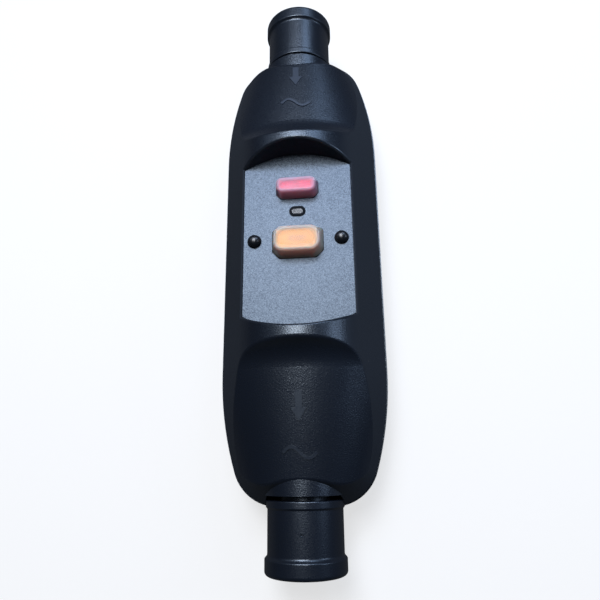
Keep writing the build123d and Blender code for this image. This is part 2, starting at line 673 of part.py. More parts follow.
# Cord glands: a hard collar with a rubber grommet in its mouth
FLANGE_FACES = (GLAND_RIB_END + 0.2, END_WALL_IN - 0.1)
RING_END = (COLLAR_START + RING_LENGTH, COLLAR_RING)
BARREL = (COLLAR_START + RING_LENGTH + 0.6, COLLAR_END - LIP_LENGTH - 0.9)
LIP_START = (COLLAR_END - LIP_LENGTH, LIP_RADIUS)
LIP_END = (COLLAR_END, LIP_RADIUS)
COLLAR_ROUNDS = {
    (COLLAR_START, COLLAR_RING): 0.4, RING_END: 0.3, (BARREL[1], COLLAR_RADIUS): LIP_FLARE,
    LIP_START: 0.5, LIP_END: LIP_RIM, (COLLAR_END, GROMMET_RADIUS): 0.5,
}
for end, side in ENDS.items():
    with BuildPart() as collar:
        with BuildSketch(gland_plane(side)) as profile:
            with BuildLine():
                Polyline(
                    (FLANGE_FACES[0], NECK_BORE), (FLANGE_FACES[0], NECK_FLANGE),
                    (FLANGE_FACES[1], NECK_FLANGE), (FLANGE_FACES[1], NECK_RADIUS),
                    (COLLAR_START, NECK_RADIUS), (COLLAR_START, COLLAR_RING), RING_END,
                    (BARREL[0], COLLAR_RADIUS), (BARREL[1], COLLAR_RADIUS), LIP_START, LIP_END,
                    (COLLAR_END, GROMMET_RADIUS), (GROMMET_START, GROMMET_RADIUS),
                    (GROMMET_START, NECK_BORE), close=True,
                )
            make_face()
            for corner, radius in COLLAR_ROUNDS.items():
                fillet(profile.vertices().sort_by_distance(Vertex(*corner))[0], radius)
        revolve(axis=CORD_AXIS)
        if end == "load":
            with Locations((0, GATE_MARK_Y, AXIS_Z + COLLAR_RADIUS)):
                Sphere(GATE_MARK, mode=Mode.SUBTRACT)
    collar.part.label = f"{end}_collar"
    export_step(collar.part, f"parts/{end}_collar.step")

    with BuildPart() as grommet:
        with BuildSketch(gland_plane(side)):
            with BuildLine():
                Polyline(
                    (GROMMET_START, CORD_RADIUS), (GROMMET_START, GROMMET_RADIUS - 0.05),
                    (GROMMET_END - 1, GROMMET_RADIUS - 0.05), (GROMMET_END, GROMMET_RADIUS - 1.2),
                    (GROMMET_END, CORD_RADIUS), close=True,
                )
            make_face()
        revolve(axis=CORD_AXIS)
    grommet.part.label = f"{end}_grommet"
    export_step(grommet.part, f"parts/{end}_grommet.step")

# Clamp bars that hold the cord's sheath inside each end
for end, side in ENDS.items():
    with BuildPart() as cord_clamp:
        with BuildSketch(cross_plane(side * CLAMP_Y)):
            with BuildLine():
                half = Polyline(
                    (0, CLAMP_SEAT), (CLAMP_HALF, CLAMP_SEAT), (CLAMP_HALF, CLAMP_SEAT + CLAMP_EAR),
                    (CLAMP_TOP_HALF, CLAMP_TOP), (0, CLAMP_TOP),
                )
                mirror(half, about=Plane.YZ)
            make_face()
            with Locations((0, AXIS_Z)):
                Circle(CORD_RADIUS, mode=Mode.SUBTRACT)
            with Locations((0, CLAMP_SEAT)):
                Rectangle(*CLAMP_RELIEF, mode=Mode.SUBTRACT)
        extrude(amount=CLAMP_WIDTH / 2, both=True)
        with Locations(*[(x, side * CLAMP_Y, CLAMP_SCREW_SEAT) for x in (-CLAMP_SCREW_X, CLAMP_SCREW_X)]):
            Cylinder(CLAMP_SCREW[0] + 0.2, CLAMP_TOP, align=UPRIGHT, mode=Mode.SUBTRACT)
            Cylinder(SCREW_RADIUS + 0.2, CLAMP_TOP, mode=Mode.SUBTRACT)
    cord_clamp.part.label = f"{end}_cord_clamp"
    export_step(cord_clamp.part, f"parts/{end}_cord_clamp.step")


def screw(head_radius, head, shank_radius, shank):
    """Plain screw standing on its head's underside at the origin, shank downward."""
    with BuildPart() as body:
        Cylinder(head_radius, head, align=UPRIGHT)
        Cylinder(shank_radius, shank, align=HANGING)
        with BuildSketch(Plane.XY.offset(head)):
            Rectangle(1.5 * head_radius, 0.3 * head_radius)
            Rectangle(0.3 * head_radius, 1.5 * head_radius)
        extrude(amount=-0.5 * head, mode=Mode.SUBTRACT)
    return body.part


with BuildPart() as clamp_screws:
    with Locations(*[
        Location((x, y, CLAMP_SCREW_SEAT))
        for x in (-CLAMP_SCREW_X, CLAMP_SCREW_X) for y in (-CLAMP_Y, CLAMP_Y)
    ]):
        add(screw(*CLAMP_SCREW))
clamp_screws.part.label = "clamp_screws"
export_step(clamp_screws.part, "parts/clamp_screws.step")

with BuildPart() as shell_screws:
    with Locations(*[Location((x, y, WELL_DEPTH), (180, 0, 0)) for x, y in SHELL_SCREWS]):
        add(screw(*SHELL_SCREW))
shell_screws.part.label = "shell_screws"
export_step(shell_screws.part, "parts/shell_screws.step")

with BuildPart() as board_screws:
    with Locations(*[Location((x, y, BOARD_BOTTOM), (180, 0, 0)) for x, y in BOARD_SCREWS]):
        add(screw(*BOARD_SCREW))
board_screws.part.label = "board_screws"
export_step(board_screws.part, "parts/board_screws.step")

# Circuit board and what is soldered to it
with BuildPart() as circuit_board:
    with BuildSketch(Plane.XY.offset(BOARD_BOTTOM)):
        with Locations((0, BOARD_Y)):
            RectangleRounded(*BOARD, 2)
        with Locations((0, MECH_Y)):
            Circle(BUTTONS["reset"]["post"] + 0.4, mode=Mode.SUBTRACT)
        with Locations(*BOARD_SCREWS):
            Circle(BOARD_SCREW[2] + 0.2, mode=Mode.SUBTRACT)
    extrude(amount=BOARD_THICK)
circuit_board.part.label = "circuit_board"
export_step(circuit_board.part, "parts/circuit_board.step")

with BuildPart() as test_switch:
    with BuildSketch(Plane.XY.offset(BOARD_TOP)):
        with Locations((0, BUTTONS["test"]["y"])):
            RectangleRounded(TEST_SWITCH, TEST_SWITCH, 0.5)
    extrude(amount=BUTTONS["test"]["seat"] - BOARD_TOP)
    with Locations((0, BUTTONS["test"]["y"], BOARD_TOP + 0.5)):
        Cylinder(BUTTONS["test"]["post"] + 0.3, TEST_SWITCH, align=UPRIGHT, mode=Mode.SUBTRACT)
test_switch.part.label = "test_switch"
export_step(test_switch.part, "parts/test_switch.step")

with BuildPart() as control_chip:
    with Locations((*CHIP_PLACE, BOARD_TOP + CHIP_STAND)):
        Box(*CHIP, align=UPRIGHT)
    chamfer(control_chip.faces().sort_by(Axis.Z)[-1].edges(), 0.3)
    with Locations(*[(CHIP_PLACE[0] + x, CHIP_PLACE[1] + y, BOARD_TOP) for x, y in CHIP_LEGS]):
        Box(*CHIP_LEG, align=UPRIGHT)
control_chip.part.label = "control_chip"
export_step(control_chip.part, "parts/control_chip.step")

with BuildPart() as varistor:
    with BuildSketch(cross_plane(VARISTOR_PLACE[0])):
        with Locations((0, VARISTOR_PLACE[1])):
            Circle(VARISTOR[0])
    extrude(amount=-VARISTOR[1])
    fillet(varistor.edges(), 1)
    middle_y = VARISTOR_PLACE[0] + VARISTOR[1] / 2
    with Locations(*[(x, middle_y, BOARD_BOTTOM) for x in (-VARISTOR_LEG_X, VARISTOR_LEG_X)]):
        Cylinder(BOARD_LEG, BOARD_BOTTOM - VARISTOR_PLACE[1], align=HANGING)
varistor.part.label = "varistor"
export_step(varistor.part, "parts/varistor.step")

with BuildPart() as capacitor:
    with Locations((0, CAPACITOR_Y, BOARD_BOTTOM)):
        Cylinder(*CAPACITOR, align=HANGING)
    fillet(capacitor.faces().sort_by(Axis.Z)[0].edges(), 0.6)
capacitor.part.label = "capacitor"
export_step(capacitor.part, "parts/capacitor.step")

with BuildPart() as resistors:
    leg, reach = RESISTOR_LEG
    body_half = RESISTOR[1] / 2
    for x in RESISTOR_X:
        add(rod_along_cord(RESISTOR_Y + body_half, RESISTOR_Y - body_half, RESISTOR[0], x, RESISTOR_Z))
        add(rod_along_cord(RESISTOR_Y + reach + leg, RESISTOR_Y - reach - leg, leg, x, RESISTOR_Z))
        with Locations((x, RESISTOR_Y + reach, BOARD_TOP), (x, RESISTOR_Y - reach, BOARD_TOP)):
            Cylinder(leg, RESISTOR_Z + leg - BOARD_TOP, align=UPRIGHT)
resistors.part.label = "resistors"
export_step(resistors.part, "parts/resistors.step")

# Current transformer: a ring core in a winding that wraps round its outside
with BuildPart() as toroid_winding:
    add(rod_along_cord(TOROID_Y - TOROID_WIDTH / 2, TOROID_Y + TOROID_WIDTH / 2, TOROID_RADIUS, 0, TOROID_Z))
    fillet(toroid_winding.edges(), 1)
    add(
        rod_along_cord(TOROID_Y - CORE_HALF, TOROID_Y + CORE_HALF, CORE_RADIUS, 0, TOROID_Z),
        mode=Mode.SUBTRACT,
    )
    add(rod_along_cord(TOROID_Y - 6, TOROID_Y + 6, TOROID_BORE, 0, TOROID_Z), mode=Mode.SUBTRACT)
toroid_winding.part.label = "toroid_winding"
export_step(toroid_winding.part, "parts/toroid_winding.step")

with BuildPart() as toroid_core:
    add(rod_along_cord(TOROID_Y - CORE_HALF, TOROID_Y + CORE_HALF, CORE_RADIUS, 0, TOROID_Z))
    add(rod_along_cord(TOROID_Y - 6, TOROID_Y + 6, TOROID_BORE, 0, TOROID_Z), mode=Mode.SUBTRACT)
toroid_core.part.label = "toroid_core"
export_step(toroid_core.part, "parts/toroid_core.step")

# Terminals for the cord's conductors, with their screws
for end, side in ENDS.items():
    with BuildPart() as terminals:
        for x in TERMINAL_X:
            with Locations((x, side * TERMINAL_Y, TERMINAL_SEAT)):
                Box(*TERMINAL, align=UPRIGHT)
            outer = side * (TERMINAL_Y + 5)
            middle = side * (TERMINAL_Y - 1)
            add(rod_along_cord(outer, middle, TERMINAL_HOLE[0], x, TERMINAL_HOLE[1]), mode=Mode.SUBTRACT)
        screw_y = side * (TERMINAL_Y + TERMINAL_SCREW_SET)
        screw_end = TERMINAL_SEAT + TERMINAL[2] - TERMINAL_SCREW[3] - 0.1
        with Locations(*[(x, screw_y, screw_end) for x in TERMINAL_X]):
            Cylinder(TERMINAL_SCREW[2] + 0.05, TERMINAL[2], align=UPRIGHT, mode=Mode.SUBTRACT)
    terminals.part.label = f"{end}_terminals"
    export_step(terminals.part, f"parts/{end}_terminals.step")

with BuildPart() as terminal_screws:
    with Locations(*[
        Location((x, side * (TERMINAL_Y + TERMINAL_SCREW_SET), TERMINAL_SEAT + TERMINAL[2]))
        for x in TERMINAL_X for side in ENDS.values()
    ]):
        add(screw(*TERMINAL_SCREW))
terminal_screws.part.label = "terminal_screws"
export_step(terminal_screws.part, "parts/terminal_screws.step")

LEAD_Z = FIXED_STRIP_Z + STRIP_THICK / 2
TERMINAL_FACE = TERMINAL_Y - TERMINAL[1] / 2


def lead(points, radius):
    """Stiff round conductor along a path with rounded bends."""
    with BuildPart() as wire:
        with BuildLine() as path:
            FilletPolyline(*points, radius=radius)
        with BuildSketch(Plane(origin=path.line @ 0, z_dir=path.line % 0)):
            Circle(LEAD_RADIUS)
        sweep()
    return wire.part


with BuildPart() as line_leads:
    for x in (-1, 1):
        start = MECH_Y + STRIP_END
        add(lead((
            (x * POLE_X, start, LEAD_Z), (x * POLE_X, start + 4, LEAD_Z),
            (x * TERMINAL_X[1], TERMINAL_FACE - 6, TERMINAL_HOLE[1]),
            (x * TERMINAL_X[1], TERMINAL_FACE, TERMINAL_HOLE[1]),
        ), 5))
line_leads.part.label = "line_leads"
export_step(line_leads.part, "parts/line_leads.step")

with BuildPart() as load_leads:
    for x in (-1, 1):
        start = MECH_Y - STRIP_END
        add(lead((
            (x * POLE_X, start, LEAD_Z), (x * POLE_X, start - 3, LEAD_Z),
            (x * 1.9, TOROID_Y + 6, TOROID_Z), (x * 1.9, TOROID_Y - 6, TOROID_Z),
            (x * TERMINAL_X[1], -TERMINAL_FACE + 3, TERMINAL_HOLE[1]),
            (x * TERMINAL_X[1], -TERMINAL_FACE, TERMINAL_HOLE[1]),
        ), 2))
load_leads.part.label = "load_leads"
export_step(load_leads.part, "parts/load_leads.step")

# Strap that joins the two earth terminals without a break
with BuildPart() as earth_strap:
    with Locations((TERMINAL_X[2], 0, TERMINAL_HOLE[1])):
        Box(STRAP[0], 2 * TERMINAL_FACE, STRAP[1])
earth_strap.part.label = "earth_strap"
export_step(earth_strap.part, "parts/earth_strap.step")

# Moulded base of the mechanism, with pedestals for the contacts and rails for the carrier
with BuildPart() as mechanism_frame:
    with BuildSketch(Plane.XY.offset(FLOOR)):
        with Locations((0, MECH_Y)):
            RectangleRounded(FRAME_SIDE, FRAME_SIDE, 2)
    extrude(amount=FRAME_TOP - FLOOR)
    with BuildSketch(Plane.XY.offset(FRAME_TOP)):
        with Locations(*[(x, MECH_Y + y) for x in (-POLE_X, POLE_X) for y in (-PEDESTAL_Y, PEDESTAL_Y)]):
            Rectangle(*PEDESTAL)
    extrude(amount=FIXED_STRIP_Z - FRAME_TOP)
    with BuildSketch(Plane.XY.offset(FRAME_TOP)):
        with Locations((-RAIL_X, MECH_Y), (RAIL_X, MECH_Y)):
            Rectangle(*RAIL)
    extrude(amount=AXIS_Z - FRAME_TOP)
mechanism_frame.part.label = "mechanism_frame"
export_step(mechanism_frame.part, "parts/mechanism_frame.step")

with BuildPart() as fixed_contacts:
    for x in (-POLE_X, POLE_X):
        for side in (-1, 1):
            with Locations((x, MECH_Y + side * (STRIP_END + CONTACT_REACH - 2) / 2, FIXED_STRIP_Z)):
                Box(STRIP_WIDTH, STRIP_END - CONTACT_REACH + 2, STRIP_THICK, align=UPRIGHT)
            with Locations((x, MECH_Y + side * CONTACT_REACH, FIXED_STRIP_Z + STRIP_THICK)):
                Cylinder(CONTACT_RADIUS, FIXED_CONTACT, align=UPRIGHT)
fixed_contacts.part.label = "fixed_contacts"
export_step(fixed_contacts.part, "parts/fixed_contacts.step")

# Carrier that the reset button pushes down, with its bridges and armature
with BuildPart() as contact_carrier:
    with BuildSketch(Plane.XY.offset(CARRIER_BOTTOM)):
        with Locations((0, MECH_Y)):
            RectangleRounded(*CARRIER, 1)
    extrude(amount=CARRIER_TOP - CARRIER_BOTTOM)
contact_carrier.part.label = "contact_carrier"
export_step(contact_carrier.part, "parts/contact_carrier.step")

with BuildPart() as contact_bridges:
    for x in (-POLE_X, POLE_X):
        with Locations((x, MECH_Y, CARRIER_BOTTOM)):
            Box(STRIP_WIDTH, 2 * CONTACT_REACH + STRIP_WIDTH, STRIP_THICK, align=HANGING)
        tip_z = CARRIER_BOTTOM - STRIP_THICK
        with Locations((x, MECH_Y - CONTACT_REACH, tip_z), (x, MECH_Y + CONTACT_REACH, tip_z)):
            Cylinder(CONTACT_RADIUS, MOVING_CONTACT, align=HANGING)
contact_bridges.part.label = "contact_bridges"
export_step(contact_bridges.part, "parts/contact_bridges.step")

with BuildPart() as armature:
    with Locations((0, MECH_Y, CARRIER_BOTTOM)):
        Box(*ARMATURE, align=HANGING)
armature.part.label = "armature"
export_step(armature.part, "parts/armature.step")

# Holding magnet under the carrier
with BuildPart() as magnet_yoke:
    with Locations((0, MECH_Y, FRAME_TOP)):
        Box(YOKE_WIDTH, 2 * YOKE_HALF, YOKE_FOOT, align=UPRIGHT)
        Cylinder(POLE_RADIUS, YOKE_TOP - FRAME_TOP, align=UPRIGHT)
    arm_y = YOKE_HALF - YOKE_THICK / 2
    with Locations((0, MECH_Y - arm_y, FRAME_TOP), (0, MECH_Y + arm_y, FRAME_TOP)):
        Box(YOKE_WIDTH, YOKE_THICK, YOKE_TOP - FRAME_TOP, align=UPRIGHT)
magnet_yoke.part.label = "magnet_yoke"
export_step(magnet_yoke.part, "parts/magnet_yoke.step")

with BuildPart() as coil_bobbin:
    with Locations((0, MECH_Y, FRAME_TOP + YOKE_FOOT)):
        Cylinder(BOBBIN_CORE, BOBBIN_HEIGHT, align=UPRIGHT)
        Cylinder(BOBBIN_RADIUS, BOBBIN_FLANGE, align=UPRIGHT)
    with Locations((0, MECH_Y, FRAME_TOP + YOKE_FOOT + BOBBIN_HEIGHT)):
        Cylinder(BOBBIN_RADIUS, BOBBIN_FLANGE, align=HANGING)
    with Locations((0, MECH_Y, FRAME_TOP)):
        Cylinder(POLE_RADIUS, AXIS_Z, mode=Mode.SUBTRACT)
coil_bobbin.part.label = "coil_bobbin"
export_step(coil_bobbin.part, "parts/coil_bobbin.step")

with BuildPart() as coil_winding:
    with Locations((0, MECH_Y, FRAME_TOP + YOKE_FOOT + BOBBIN_FLANGE)):
        Cylinder(WINDING_RADIUS, BOBBIN_HEIGHT - 2 * BOBBIN_FLANGE, align=UPRIGHT)
        Cylinder(BOBBIN_CORE, AXIS_Z, mode=Mode.SUBTRACT)
coil_winding.part.label = "coil_winding"
export_step(coil_winding.part, "parts/coil_winding.step")

with BuildPart() as opening_springs:
    for x in (-OPENING_SPRING_X, OPENING_SPRING_X):
        add(wound_spring(x, MECH_Y, FRAME_TOP, CARRIER_BOTTOM, *OPENING_SPRING))
opening_springs.part.label = "opening_springs"
export_step(opening_springs.part, "parts/opening_springs.step")
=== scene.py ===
"""Portable residual current device: finishes, relief, boots, springs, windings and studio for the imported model."""
from __future__ import annotations

import logging
import math
from dataclasses import dataclass
from enum import Enum

import bmesh
import bpy
from mathutils import Euler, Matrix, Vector

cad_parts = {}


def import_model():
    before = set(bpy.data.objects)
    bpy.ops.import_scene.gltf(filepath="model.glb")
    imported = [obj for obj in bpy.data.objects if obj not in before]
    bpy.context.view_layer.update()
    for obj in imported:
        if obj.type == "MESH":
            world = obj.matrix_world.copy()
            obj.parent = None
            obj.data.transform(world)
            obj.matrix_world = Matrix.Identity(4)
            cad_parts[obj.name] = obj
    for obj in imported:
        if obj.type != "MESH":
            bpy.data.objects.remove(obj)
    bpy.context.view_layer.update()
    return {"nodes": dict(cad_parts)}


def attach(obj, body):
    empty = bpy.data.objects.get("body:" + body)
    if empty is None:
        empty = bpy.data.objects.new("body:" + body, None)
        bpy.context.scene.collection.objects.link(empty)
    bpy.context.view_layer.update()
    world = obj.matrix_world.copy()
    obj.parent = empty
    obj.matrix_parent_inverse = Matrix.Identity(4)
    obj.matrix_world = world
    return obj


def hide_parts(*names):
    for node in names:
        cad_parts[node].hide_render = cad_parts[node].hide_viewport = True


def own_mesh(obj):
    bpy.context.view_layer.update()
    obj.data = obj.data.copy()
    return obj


LOG = logging.getLogger("residual_current_device")
MM = 0.001
MILK = "milk"  # attribute of the boots that says how milky they are
# Where MILK is SHADED, on the boot's flange under the plate, the silicone is painted dark and opaque as painted shade.
SHADED = -1.0  # its value where the plate keeps the light off
PLATE_TOP = 33.3  # height of the plate's outer face over the back, in millimetres
SLOT_ROUNDING = 0.97  # rounding of a slot's corners, as a share of half its length

Color = tuple[float, float, float]
Point = tuple[float, float, float]
Flat = tuple[float, float]
Ring = list[Point]

WHITE = (1.0, 1.0, 1.0)


class End(Enum):
    """The two ends of the device, with their direction along Y."""

    LINE = 1
    LOAD = -1


class Body(Enum):
    """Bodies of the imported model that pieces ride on."""

    HOUSING = "housing"
    TEST = "test_press"
    RESET = "reset_press"


class Across(Enum):
    """Axes that a finish can change along, by their place in a vector."""

    Y = 1
    Z = 2


@dataclass
class NodeBuilder:
    """Places and joins shader or geometry nodes in one tree."""

    tree: bpy.types.NodeTree

    def join(self, socket: bpy.types.NodeSocket, value: object) -> None:
        """Links an output socket to an input, or sets the input to a plain value.

        Args:
            socket: The input.
            value: The output socket or the value.
        """
        if isinstance(value, bpy.types.NodeSocket):
            self.tree.links.new(value, socket)
        else:
            socket.default_value = value

    def add(self, kind: str, **inputs: object) -> bpy.types.Node:
        """Adds a node and sets or links its inputs.

        Args:
            kind: The node's bl_idname.
            **inputs: Socket name with blanks as underscores, and its value or an output socket.

        Returns:
            The new node.
        """
        node = self.tree.nodes.new(kind)
        self.fill(node, inputs)
        return node

    def fill(self, node: bpy.types.Node, inputs: dict[str, object]) -> None:
        """Sets or links inputs of a node, by their names with blanks as underscores."""
        for name, value in inputs.items():
            self.join(node.inputs[name.replace("_", " ")], value)

    def math(self, operation: str, *values: object) -> bpy.types.NodeSocket:
        """Adds a Math node.

        Args:
            operation: The node's operation.
            *values: Up to three values or sockets.

        Returns:
            The result's socket.
        """
        node = self.tree.nodes.new("ShaderNodeMath")
        node.operation = operation
        for socket, value in zip(node.inputs, values):
            self.join(socket, value)
        return node.outputs[0]

    def spread(self, value: object, low: float, high: float) -> bpy.types.NodeSocket:
        """Spreads a value between two limits over 0 to 1, clamped.

        Args:
            value: The socket to spread.
            low: Value that becomes 0.
            high: Value that becomes 1.

        Returns:
            The result's socket.
        """
        node = self.add("ShaderNodeMapRange", Value=value, From_Min=low, From_Max=high)
        return node.outputs["Result"]

    def mix(self, share: object, first: object, second: object) -> bpy.types.NodeSocket:
        """Mixes two colours.

        Args:
            share: Share of the second colour.
            first: First colour or socket.
            second: Second colour or socket.

        Returns:
            The mixed colour's socket.
        """
        node = self.tree.nodes.new("ShaderNodeMix")
        node.data_type = "RGBA"
        for index, value in ((0, share), (6, first), (7, second)):
            self.join(node.inputs[index], value)
        return node.outputs[2]

    def level(self, share: object, first: float, second: float) -> bpy.types.NodeSocket:
        """Runs from one number to another with a share, for a value that changes over the surface."""
        return self.math("MULTIPLY_ADD", share, second - first, first)

    def place(self) -> bpy.types.NodeSocket:
        """Object coordinates, in metres."""
        return self.add("ShaderNodeTexCoord").outputs["Object"]

    def along(self, axis: Across) -> bpy.types.NodeSocket:
        """One part of the object coordinates."""
        return self.add("ShaderNodeSeparateXYZ", Vector=self.place()).outputs[axis.value]

    def noise(self, scale: object, detail: float = 2.0) -> bpy.types.NodeSocket:
        """Noise on object coordinates, 0 to 1."""
        return self.add("ShaderNodeTexNoise", Vector=self.place(), Scale=scale, Detail=detail).outputs["Fac"]


def rgba(color: Color) -> tuple[float, float, float, float]:
    """Adds a full alpha to a colour."""
    return (*color, 1.0)


def scaled(color: Color, share: float) -> Color:
    """A lighter or darker tone of a colour."""
    return tuple(share * part for part in color)


class MaterialDraft:
    """An empty node material with its Principled shader and output joined."""

    def __init__(self, name: str) -> None:
        """Makes the material.

        Args:
            name: The material's name.
        """
        self.material = bpy.data.materials.new(name)
        self.material.use_nodes = True
        self.material.node_tree.nodes.clear()
        self.nodes = NodeBuilder(self.material.node_tree)
        self.shader = self.nodes.add("ShaderNodeBsdfPrincipled")
        self.output = self.nodes.add("ShaderNodeOutputMaterial", Surface=self.shader.outputs[0])

    def set(self, **inputs: object) -> None:
        """Sets or links inputs of the shader."""
        self.nodes.fill(self.shader, inputs)

    def effect(self, group: bpy.types.NodeTree, **inputs: object) -> bpy.types.Node:
        """Places a shared effect.

        Args:
            group: The effect's node group.
            **inputs: Its inputs, with blanks as underscores.

        Returns:
            The group node.
        """
        node = self.nodes.tree.nodes.new("ShaderNodeGroup")
        node.node_tree = group
        self.nodes.fill(node, inputs)
        return node


class Effects:
    """Shader node groups that several finishes share."""

    GRAIN_RISE = 0.00008
    BLOTCH_SPREAD = (0.35, 0.65)
    PIT_SPREAD = (0.4, 0.7)
    SPECK_REACH = 0.22
    UPWARD_SPREAD = (0.2, 0.8)
    MARK_RISE = 0.00005
    MARK_SPREAD = (0.3, 0.7)
    TARNISH_SCALE = 160.0
    TARNISH_SPREAD = (0.45, 0.75)

    def __init__(self) -> None:
        """Builds the groups."""
        self.grain = self.build_grain()
        self.dust = self.build_dust()
        self.brushing = self.build_brushing()

    def start(self, name: str, numbers: dict[str, float], puts_out: dict[str, str]) -> NodeBuilder:
        """Starts a group with its sockets.

        Args:
            name: The group's name.
            numbers: Its inputs and their values.
            puts_out: Its outputs and their kinds.

        Returns:
            A builder whose tree holds the group's input and output nodes.
        """
        tree = bpy.data.node_groups.new(name, "ShaderNodeTree")
        for key, value in numbers.items():
            tree.interface.new_socket(key, in_out="INPUT", socket_type="NodeSocketFloat").default_value = value
        for key, kind in puts_out.items():
            tree.interface.new_socket(key, in_out="OUTPUT", socket_type=f"NodeSocket{kind}")
        return NodeBuilder(tree)

    def build_grain(self) -> bpy.types.NodeTree:
        """Fine spark-eroded grain of a mould, with a slow blotch.

        Returns:
            The node group.
        """
        nodes = self.start(
            "moulded_grain", {"Scale": 2600.0, "Depth": 0.25, "Blotch Scale": 28.0},
            {"Blotch": "Float", "Pits": "Float", "Normal": "Vector"},
        )
        inputs = nodes.add("NodeGroupInput")
        fine = nodes.noise(inputs.outputs["Scale"])
        blotch = nodes.noise(inputs.outputs["Blotch Scale"], 3.0)
        bump = nodes.add("ShaderNodeBump", Strength=inputs.outputs["Depth"], Distance=self.GRAIN_RISE, Height=fine)
        nodes.add(
            "NodeGroupOutput", Normal=bump.outputs[0], Blotch=nodes.spread(blotch, *self.BLOTCH_SPREAD),
            Pits=nodes.spread(fine, *self.PIT_SPREAD),
        )
        return nodes.tree

    def build_dust(self) -> bpy.types.NodeTree:
        """Sparse specks of dust and lint that settle on upward faces.

        Returns:
            The node group.
        """
        nodes = self.start("settled_dust", {"Scale": 900.0, "Amount": 0.1}, {"Mask": "Float"})
        inputs = nodes.add("NodeGroupInput")
        cells = nodes.add("ShaderNodeTexVoronoi", Vector=nodes.place(), Scale=inputs.outputs["Scale"])
        tone = nodes.add("ShaderNodeSeparateColor", Color=cells.outputs["Color"]).outputs[0]
        chosen = nodes.math("LESS_THAN", tone, inputs.outputs["Amount"])
        near = nodes.math("LESS_THAN", cells.outputs["Distance"], self.SPECK_REACH)
        facing = nodes.add("ShaderNodeSeparateXYZ", Vector=nodes.add("ShaderNodeNewGeometry").outputs["Normal"])
        upward = nodes.spread(facing.outputs["Z"], *self.UPWARD_SPREAD)
        speck = nodes.math("MULTIPLY", chosen, near)
        nodes.add("NodeGroupOutput", Mask=nodes.math("MULTIPLY", speck, upward))
        return nodes.tree

    def build_brushing(self) -> bpy.types.NodeTree:
        """Drawn or machined marks with a slow tarnish.

        Returns:
            The node group.
        """
        nodes = self.start(
            "machined_marks", {"Stretch": 12.0, "Scale": 900.0, "Depth": 0.2},
            {"Marks": "Float", "Tarnish": "Float", "Normal": "Vector"},
        )
        inputs = nodes.add("NodeGroupInput")
        stretch = nodes.add("ShaderNodeCombineXYZ", X=inputs.outputs["Stretch"], Y=1.0, Z=inputs.outputs["Stretch"])
        turned = nodes.add("ShaderNodeVectorMath", Vector=nodes.place())
        turned.operation = "MULTIPLY"
        nodes.join(turned.inputs[1], stretch.outputs[0])
        marks = nodes.add(
            "ShaderNodeTexNoise", Vector=turned.outputs[0], Scale=inputs.outputs["Scale"], Detail=2.0
        ).outputs["Fac"]
        bump = nodes.add("ShaderNodeBump", Strength=inputs.outputs["Depth"], Distance=self.MARK_RISE, Height=marks)
        nodes.add(
            "NodeGroupOutput", Marks=nodes.spread(marks, *self.MARK_SPREAD), Normal=bump.outputs[0],
            Tarnish=nodes.spread(nodes.noise(self.TARNISH_SCALE, 4.0), *self.TARNISH_SPREAD),
        )
        return nodes.tree


@dataclass(frozen=True)
class MouldedPlastic:
    """Moulded plastic with the mould's fine grain and a little dust."""

    name: str
    color: Color
    roughness: float
    depth: float
    scale: float = 2600.0
    dust: float = 0.0
    gloss: float = 0.5
    ledge: float = 0.0
    ledge_reach: float = 0.06
    least_flat: float = 0.999
    steep: float = 0.6
    steep_spread: Flat = (0.3, 0.75)
    blotch_tone: float = 1.35
    pit_tone: float = 2.4
    pit_share: float = 0.5
    pit_roughness: Flat = (0.06, -0.04)
    dust_color: Color = (0.35, 0.35, 0.36)
    dust_share: float = 0.1
    sheen: Color = (0.78, 0.89, 1.0)

    def build(self, effects: Effects) -> bpy.types.Material:
        """Builds the material. Where there is a flat ledge, it and the steep faces are left rougher by the tool.

        Args:
            effects: The shared effects.

        Returns:
            The material.
        """
        draft = MaterialDraft(self.name)
        nodes = draft.nodes
        grain = draft.effect(effects.grain, Scale=self.scale, Depth=self.depth, Blotch_Scale=28.0)
        dust = draft.effect(effects.dust, Scale=700.0, Amount=self.dust)
        color = nodes.mix(grain.outputs["Blotch"], rgba(self.color), rgba(scaled(self.color, self.blotch_tone)))
        pits = nodes.math("MULTIPLY", grain.outputs["Pits"], self.pit_share)
        color = nodes.mix(pits, color, rgba(scaled(self.color, self.pit_tone)))
        color = nodes.mix(nodes.math("MULTIPLY", dust.outputs["Mask"], self.dust_share), color, rgba(self.dust_color))
        rough = nodes.level(grain.outputs["Pits"], *[self.roughness + change for change in self.pit_roughness])
        if self.ledge:
            normal = nodes.add("ShaderNodeNewGeometry").outputs["Normal"]
            upward = nodes.add("ShaderNodeSeparateXYZ", Vector=normal).outputs["Z"]
            steep = nodes.math("SUBTRACT", 1.0, nodes.spread(upward, *self.steep_spread))
            rough = nodes.math("MULTIPLY_ADD", steep, self.steep, rough)
            level = nodes.math("COMPARE", nodes.along(Across.Z), self.ledge * MM, self.ledge_reach * MM)
            flat = nodes.math("GREATER_THAN", upward, self.least_flat)
            rough = nodes.math("MAXIMUM", rough, nodes.math("MULTIPLY", level, flat))
        draft.set(Base_Color=color, Roughness=rough, Normal=grain.outputs["Normal"], IOR=1.5)
        draft.set(Specular_IOR_Level=self.gloss, Specular_Tint=rgba(self.sheen))
        return draft.material


